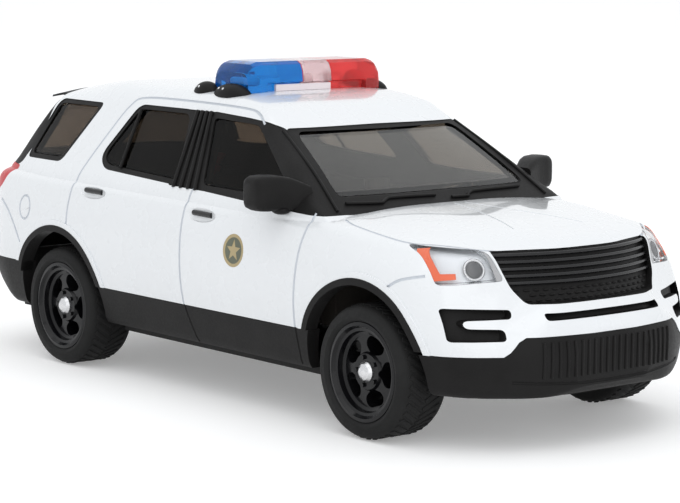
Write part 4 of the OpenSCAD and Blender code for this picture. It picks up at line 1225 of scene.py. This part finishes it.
def add_headlamp(side):
    """A clear lens with a painted amber marker and grey strip, over a pale bowl with a round eye."""
    sign = 1 if side == "left" else -1
    lens = smooth(lamp_layer(side, *LENS_DEPTH, CLEAR_LENS))
    lens.name = "headlamp_lens_" + side
    place(lens, "car", "clear_lens", "headlamp_" + side)
    strip = LAMP_STRIP if side == "left" else mirrored(LAMP_STRIP)
    painted = (
        ("marker", AMBER_LENS, "red_lens", from_side(MARKER, AMBER_LENS)),
        ("strip", LAMP_EDGE, "dark_plastic", from_front(strip, LAMP_EDGE, LAMP_BACK, FAR)),
    )
    for label, finish, slot, zone in painted:
        patch = keep(lamp_layer(side, *LAMP_PAINT, finish), zone)
        patch.name = "headlamp_" + label + "_" + side
        place(smooth(patch), "car", slot)
    bowl = smooth(lamp_layer(side, *BOWL_DEPTH, LAMP_BOWL))
    bowl.name = "headlamp_bowl_" + side
    place(bowl, "car", "clear_lens")
    spot, normal = on_form(sign * LAMP_EYE_AT[0], LAMP_EYE_AT[1], "front")
    centre = spot - normal * BOWL_DEPTH[0]
    dome = ball("eye", (LAMP_EYE_R, LAMP_EYE_R, LAMP_EYE_T), LAMP_EYE)
    eye = repeat("headlamp_eye_" + side, dome, [(centre, normal, (0, 0, 1))], LAMP_EYE)
    place(eye, "car", "clear_lens")
    aside = normal.cross(Vector((0, 0, 1))).normalized()
    above = aside.cross(normal)
    turns = [math.tau * i / LAMP_RING_STEPS for i in range(LAMP_RING_STEPS + 1)]
    reach = LAMP_EYE_R + LAMP_RING_OUT
    ring = [centre + (aside * math.cos(a) + above * math.sin(a)) * reach for a in turns]
    place(beads("headlamp_ring_" + side, [ring], LAMP_RING_R, REFLECTOR), "car", "steel")


def add_tail_lamps():
    """Red lamps round the corners of the tail."""
    lamps = smooth(keep(skin(*TAIL_LENS_DEPTH, LAMP_RED), tail_lamp_zone(LAMP_RED, -LAMP_GAP)))
    lamps.name = "tail_lamps"
    place(lamps, "car", "red_lens", "tail_lamp_left", "tail_lamp_right")


add_headlamp("left")
add_headlamp("right")
add_tail_lamps()


# Light bar, spoiler and mirrors

# Inset and share of the height along the crown's bevel
BAR_RISES = [(0, 0.2), (0.1, 0.6), (0.4, 0.88), (0.9, 1)]
# Distance from the end, with the shares of height and depth there
BAR_END = [(0, 0.58, 0.86), (0.2, 0.74, 0.94), (0.6, 0.91, 0.99), (1.3, 1, 1)]
BAR_RECESS = 0.5
BAR_RECESS_Z = 0.13
BAR_RECESS_END = 5.75
BAR_FOOT = ROOF_H - 1.2
BAR_GAP = 0.05
ROOF_GAP = 0.02
# Finish and place of the core in each cover; the middle core is a pale reflector tinted pink as a painted
# reflection of the red light
BAR_CORES = {"blue": (BLUE_CORE, -6.2), "clear": (PAINTED_REFLECTION_PALE, 0.0), "red": (RED_CORE, 6.2)}
CORE = (2.2, 1.1, 0.8)
CORE_BEVEL = 0.3
CORE_Z = LENS_Z + 0.5
DIVIDER_HALF = 0.03
STRIP_GAP = 0.03
STRIP_T = 0.3
STRIP_END = 1 - BAR_RECESS_END
# Place from the bar's middle, half length and half width of each foot
FEET = [(0.6, BAR_LEN / 2 + 0.3, 2.5, 1.2), (-3.4, BAR_LEN / 2 + 0.2, 1.6, 1.1)]
FOOT_Z = ROOF_H - 0.62
FOOT_H = 1.2
# Places of the bolts on a foot, as shares of its half length and its height
BOLT_STEPS = (-0.45, -0.12)
BOLT_RISE = 0.62
BOLT = (0.13, 0.13, 0.07)
BLADE = [
    (TAIL + 8.8, ROOF_H - 1.5), (TAIL + 8.8, ROOF_H - 1.3), (TAIL + 6.2, ROOF_H - 1.05),
    (TAIL + 4.3, ROOF_H - 1.4), (TAIL + 4.2, ROOF_H - 1.6), (TAIL + 6.2, ROOF_H - 1.3),
]
BLADE_END = HALF_W - 7.3
BLADE_DROOP = 0.7
# Rings of a mirror housing: Y, X and Z of the middle, half length and half height
MIRROR_RINGS = [
    (12.9, 13.1, 19.0, 1.1, 1.1), (13.7, 12.6, 19.2, 1.2, 1.3), (14.4, 12.2, 19.35, 1.3, 1.45),
    (15.2, 11.8, 19.45, 1.35, 1.5), (16.2, 11.6, 19.45, 1.35, 1.55), (16.9, 11.5, 19.45, 1.3, 1.5),
    (17.3, 11.4, 19.45, 1.1, 1.3), (17.45, 11.35, 19.45, 0.8, 1.0),
]
MIRROR_FOOT = (0.9, 0.8, 0.4)
MIRROR_FOOT_AT = (12.3, 14.8, 17.98)


def bar_section(y, height, depth, recess):
    """A section across the light bar: the lower part drawn in by the recess, and a bevelled crown."""
    half, top = BAR_DEPTH / 2 * depth, BAR_H * height
    side = [(half - recess, BAR_FOOT), (half - recess, LENS_Z + BAR_RECESS_Z * top)]
    side += [(half - inset, LENS_Z + rise * top) for inset, rise in BAR_RISES]
    outline = side + [(-u, v) for u, v in reversed(side)]
    return [Vector((BAR_X + u, y, v)) for u, v in outline]


def bar_cover(name, finish, low, high):
    """A cover with its foot cut to the roof; the outer end of an end cover is full and rounds in."""
    stops = [(low, 1, 1, BAR_RECESS), (high, 1, 1, BAR_RECESS)]
    ends = [(BAR_LEN / 2 - step, height, depth, 0) for step, height, depth in BAR_END]
    ends += [(BAR_RECESS_END + 0.15, 1, 1, 0), (BAR_RECESS_END, 1, 1, BAR_RECESS)]
    if low < -BAR_MIDDLE:
        stops[:1] = [(-y, height, depth, recess) for y, height, depth, recess in ends]
    if high > BAR_MIDDLE:
        stops[-1:] = ends[::-1]
    cover = skin_rings(name, [bar_section(*stop) for stop in stops], finish)
    return cut(cover, form(-ROOF_GAP, finish))


def add_bar_covers():
    """Three covers round coloured cores, thin dividers between them and a pale strip in the recess; the
    strip is a painted reflection of the white roof, and the middle cover and core are tinted pink as a
    painted reflection of the red light.
    """
    end, middle = BAR_LEN / 2, BAR_MIDDLE / 2
    covers = (
        ("blue", BLUE_LENS, -end, -middle - BAR_GAP),
        ("clear", BAR_CLEAR_PAINTED_REFLECTION, -middle + BAR_GAP, middle - BAR_GAP),
        ("red", RED_LENS, middle + BAR_GAP, end),
    )
    for colour, finish, low, high in covers:
        cover = bar_cover(colour + "_cover", finish, low, high)
        place(smooth(cover, 20), "car", colour + "_lens", "lens_" + colour)
        core_finish, y = BAR_CORES[colour]
        core = move(block(colour + "_cores", CORE, core_finish, CORE_BEVEL), (BAR_X, y, CORE_Z))
        place(smooth(core, 40), "car", colour + "_lens")
    for y, name in ((-middle, "right"), (middle, "left")):
        divider = bar_cover("bar_divider_" + name, LAMP_RED, y - DIVIDER_HALF, y + DIVIDER_HALF)
        place(smooth(divider, 20), "car", "red_lens")
    # The pale strip in the recess is a painted reflection of the white roof
    back = BAR_X + BAR_DEPTH / 2 - BAR_RECESS + STRIP_GAP
    front = back + STRIP_T
    outline = [(back, STRIP_END), (front, STRIP_END), (front, middle), (back, middle)]
    strip = from_top(outline, PAINTED_REFLECTION_PALE, BAR_FOOT, LENS_Z + BAR_RECESS_Z * BAR_H - STRIP_GAP)
    cut(strip, form(-ROOF_GAP, PAINTED_REFLECTION_PALE))
    strip.name = "bar_front_strip"
    place(smooth(strip), "car", "clear_lens")


def add_bar_feet():
    """Low dark humps under the ends of the bar, each with two small bolts."""
    feet, bolts = None, []
    for side in (-1, 1):
        for x, y, long, wide in FEET:
            hump = move(ball("hump", (long, wide, FOOT_H), DARK_SATIN), (BAR_X + x, side * y, FOOT_Z))
            feet = join(feet, hump) if feet else hump
            for step in BOLT_STEPS:
                reach = math.sqrt(1 - step**2 - BOLT_RISE**2)
                out = Vector((step / long, side * reach / wide, BOLT_RISE / FOOT_H)).normalized()
                spot = (BAR_X + x + step * long, side * (y + reach * wide), FOOT_Z + BOLT_RISE * FOOT_H)
                bolts.append((spot, out, (1, 0, 0)))
    cut(feet, level_band(0, FOOT_Z - 0.05, -FAR, FAR, DARK_SATIN))
    cut(feet, form(-ROOF_GAP, DARK_SATIN))
    cut(feet, bar_cover("room", DARK_SATIN, -BAR_LEN / 2, BAR_LEN / 2))
    feet.name = "bar_feet"
    place(smooth(feet, 40), "car", "dark_plastic", "light_bar_tray")
    heads = repeat("bar_bolts", ball("bolt", BOLT, REFLECTOR, 6, 12), bolts, REFLECTOR)
    place(heads, "car", "steel")


def add_spoiler():
    """A thin dark blade behind the roof."""
    places = across(BLADE_END, 16)
    rings = [[(x, y, z - BLADE_DROOP * (y / BLADE_END) ** 2) for x, z in BLADE] for y in places]
    blade = smooth(skin_rings("rear_blade", rings, DARK_SATIN), 25)
    place(blade, "car", "dark_plastic", "rear_spoiler")


def soft_box(x, y, z, half_x, half_z, n=28, power=0.45):
    """A ring with soft corners, across Y."""
    ring = []
    for i in range(n):
        c, s = math.cos(math.tau * i / n), math.sin(math.tau * i / n)
        u = math.copysign(abs(c) ** power, c) * half_x
        v = math.copysign(abs(s) ** power, s) * half_z
        ring.append((x + u, y, z + v))
    return ring


def add_mirrors():
    """Rounded mirror housings with a foot that runs into the pillar."""
    x, y, z = MIRROR_FOOT_AT
    for side, sign in (("left", 1), ("right", -1)):
        rings = [soft_box(u, sign * v, w, half_u, half_w) for v, u, w, half_u, half_w in MIRROR_RINGS]
        housing = skin_rings("mirror_housing_" + side, rings, DARK_SATIN)
        join(housing, move(ball("foot", MIRROR_FOOT, DARK_SATIN), (x, sign * y, z)))
        place(smooth(housing, 50), "car", "dark_plastic", "mirror_" + side)


add_bar_covers()
add_bar_feet()
add_spoiler()
add_mirrors()


# Tyres

TREAD_R = TYRE_D / 2 - 0.1
TREAD_BARS = 44
TREAD_SLANT = math.radians(34)
TREAD_ROW = 0.95
TREAD_BAR = (2.05, 0.38, 0.16)
TREAD_BEVEL = 0.03
TREAD_SINK = 0.02
TYRE_STEPS = 96


def tyre_profile():
    """Half the tyre's section from the rim to the tread: radius and distance from its middle."""
    rim, side = RIM_D / 2, TYRE_W / 2
    return [
        (rim, side - 0.35), (rim + 0.15, side - 0.1), (rim + 0.3, side - 0.04), (rim + 0.38, side),
        (rim + 0.5, side), (rim + 0.58, side - 0.05), (TREAD_R - 0.45, side - 0.05),
        (TREAD_R - 0.2, side - 0.2), (TREAD_R - 0.05, side - 0.45), (TREAD_R, side - 0.8),
    ]


def add_tyre(name, body, x, sign):
    """A smooth-walled tyre with two rows of slanted tread bars."""
    middle = sign * (TYRE_OUT - TYRE_W / 2)
    half = tyre_profile()
    ring = half + [(r, -w) for r, w in reversed(half)]
    n, m = len(ring), TYRE_STEPS
    points = []
    for i in range(m):
        a = math.tau * i / m
        points += [(x + r * math.cos(a), middle + w, AXLE_H + r * math.sin(a)) for r, w in ring]
    faces = [
        (i * n + j, i * n + (j + 1) % n, (i + 1) % m * n + (j + 1) % n, (i + 1) % m * n + j)
        for i in range(m)
        for j in range(n)
    ]
    tyre = make_object(name + "_carcass", mesh_from(name, points, faces), TYRE_RUBBER)
    place(smooth(tyre, 40), body, "tyre_rubber", name)
    spots = []
    for row in (-1, 1):
        for i in range(TREAD_BARS):
            a = math.tau * (i + 0.25 * row) / TREAD_BARS
            out = Vector((math.cos(a), 0, math.sin(a)))
            round_way = Vector((-math.sin(a), 0, math.cos(a)))
            along = Vector((0, math.cos(TREAD_SLANT), 0)) + round_way * (math.sin(TREAD_SLANT) * row)
            centre = Vector((x, middle + row * TREAD_ROW, AXLE_H)) + out * (TREAD_R - TREAD_SINK)
            spots.append((centre, out, along))
    bar = block("bar", TREAD_BAR, TYRE_RUBBER, TREAD_BEVEL)
    bars = repeat(name + "_tread", bar, spots, TYRE_RUBBER)
    place(bars, body, "tyre_rubber", name)


for end_name, axle_body, axle_x in (("front", "front_axle_set", FRONT_X), ("rear", "rear_axle_set", REAR_X)):
    add_tyre("tyre_" + end_name + "_left", axle_body, axle_x, 1)
    add_tyre("tyre_" + end_name + "_right", axle_body, axle_x, -1)


# Materials of the pieces that stay as they come from the frame

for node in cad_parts.values():
    for slot in node.material_slots:
        for key, material in SLOTS.items():
            if slot.material and slot.material.name.startswith(key):
                slot.material = material


# Floor, light and camera

FLOOR_REACH = 3000
FLOOR_GLOW = 0.26
WORLD_LIGHT = 0.84
WORLD_COLOUR = (0.97, 0.985, 1.0, 1)
LIGHT_TARGET = Vector((0, 0, 0.01))
# Name, place in metres, width in metres and power in watts
LIGHTS = [("overhead", (0.1, -0.12, 0.6), 0.6, 0.75), ("front", (0.5, -0.25, 0.25), 0.5, 0.45)]
CAMERA_AT = Vector((171.21, -140.69, 41.35))
CAMERA_AZIMUTH = math.radians(50.19)
CAMERA_ELEVATION = math.radians(7.56)
CAMERA_ROLL = math.radians(0.41)
SENSOR_W = 36.0
PHOTO_W_PX = 680
FOCAL_PX = 2400


def seen_directly(tree):
    """One where the camera sees a surface itself, in a mirror or through glass, else nought."""
    path = tree.nodes.new("ShaderNodeLightPath")
    first = tree.nodes.new("ShaderNodeMath")
    first.operation = "MAXIMUM"
    second = tree.nodes.new("ShaderNodeMath")
    second.operation = "MAXIMUM"
    tree.links.new(path.outputs["Is Camera Ray"], first.inputs[0])
    tree.links.new(path.outputs["Is Glossy Ray"], first.inputs[1])
    tree.links.new(first.outputs["Value"], second.inputs[0])
    tree.links.new(path.outputs["Is Transmission Ray"], second.inputs[1])
    return second.outputs["Value"]


def add_floor():
    """A pale floor with a little glow of its own, so that it reads as white and keeps the shadow."""
    edge = FLOOR_REACH
    outline = [(-edge, -edge), (edge, -edge), (edge, edge), (-edge, edge)]
    pale = surface("pale_floor", (0.86, 0.86, 0.86), (0.88, 0.88, 0.88), (0.6, 0.7), 300, 1, specular=0.1)
    shader = pale.node_tree.nodes["Principled BSDF"]
    glow = pale.node_tree.nodes.new("ShaderNodeMath")
    glow.operation = "MULTIPLY"
    glow.inputs[1].default_value = FLOOR_GLOW
    pale.node_tree.links.new(seen_directly(pale.node_tree), glow.inputs[0])
    pale.node_tree.links.new(glow.outputs["Value"], shader.inputs["Emission Strength"])
    shader.inputs["Emission Color"].default_value = (1, 1, 1, 1)
    floor = from_top(outline, pale, -2, 0)
    floor.name = "floor"


def add_light(name, spot, size, power):
    """A square soft light that faces the car."""
    light = bpy.data.lights.new(name, "AREA")
    light.size = size
    light.energy = power
    lamp = bpy.data.objects.new(name, light)
    lamp.location = spot
    lamp.rotation_euler = (LIGHT_TARGET - Vector(spot)).to_track_quat("-Z", "Y").to_euler()
    bpy.context.scene.collection.objects.link(lamp)


def add_camera():
    """The camera at the photo's place, turned by azimuth, elevation and roll."""
    level = math.cos(CAMERA_ELEVATION)
    back = Vector((
        math.sin(CAMERA_AZIMUTH) * level,
        -math.cos(CAMERA_AZIMUTH) * level,
        math.sin(CAMERA_ELEVATION),
    ))
    right = (-back).cross(Vector((0, 0, 1))).normalized()
    up = right.cross(-back)
    c, s = math.cos(CAMERA_ROLL), math.sin(CAMERA_ROLL)
    right, up = right * c + up * s, up * c - right * s
    lens = bpy.data.cameras.new("camera")
    lens.sensor_width = SENSOR_W
    lens.lens = SENSOR_W * FOCAL_PX / PHOTO_W_PX
    lens.clip_start = 0.01
    camera = bpy.data.objects.new("camera", lens)
    turn = Matrix((right, up, back)).transposed().to_4x4()
    camera.matrix_world = Matrix.Translation(CAMERA_AT * MM) @ turn
    bpy.context.scene.collection.objects.link(camera)
    bpy.context.scene.camera = camera


def add_world():
    """An even sky that lights softly and is white where it is seen."""
    world = bpy.data.worlds.new("studio")
    world.use_nodes = True
    tree = world.node_tree
    sky = tree.nodes["Background"]
    sky.inputs["Color"].default_value = WORLD_COLOUR
    level = tree.nodes.new("ShaderNodeMapRange")
    level.inputs["To Min"].default_value = WORLD_LIGHT
    level.inputs["To Max"].default_value = 1.0
    tree.links.new(seen_directly(tree), level.inputs["Value"])
    tree.links.new(level.outputs["Result"], sky.inputs["Strength"])
    bpy.context.scene.world = world


add_floor()
for light_row in LIGHTS:
    add_light(*light_row)
add_camera()
add_world()
bpy.context.scene.view_settings.view_transform = "Standard"
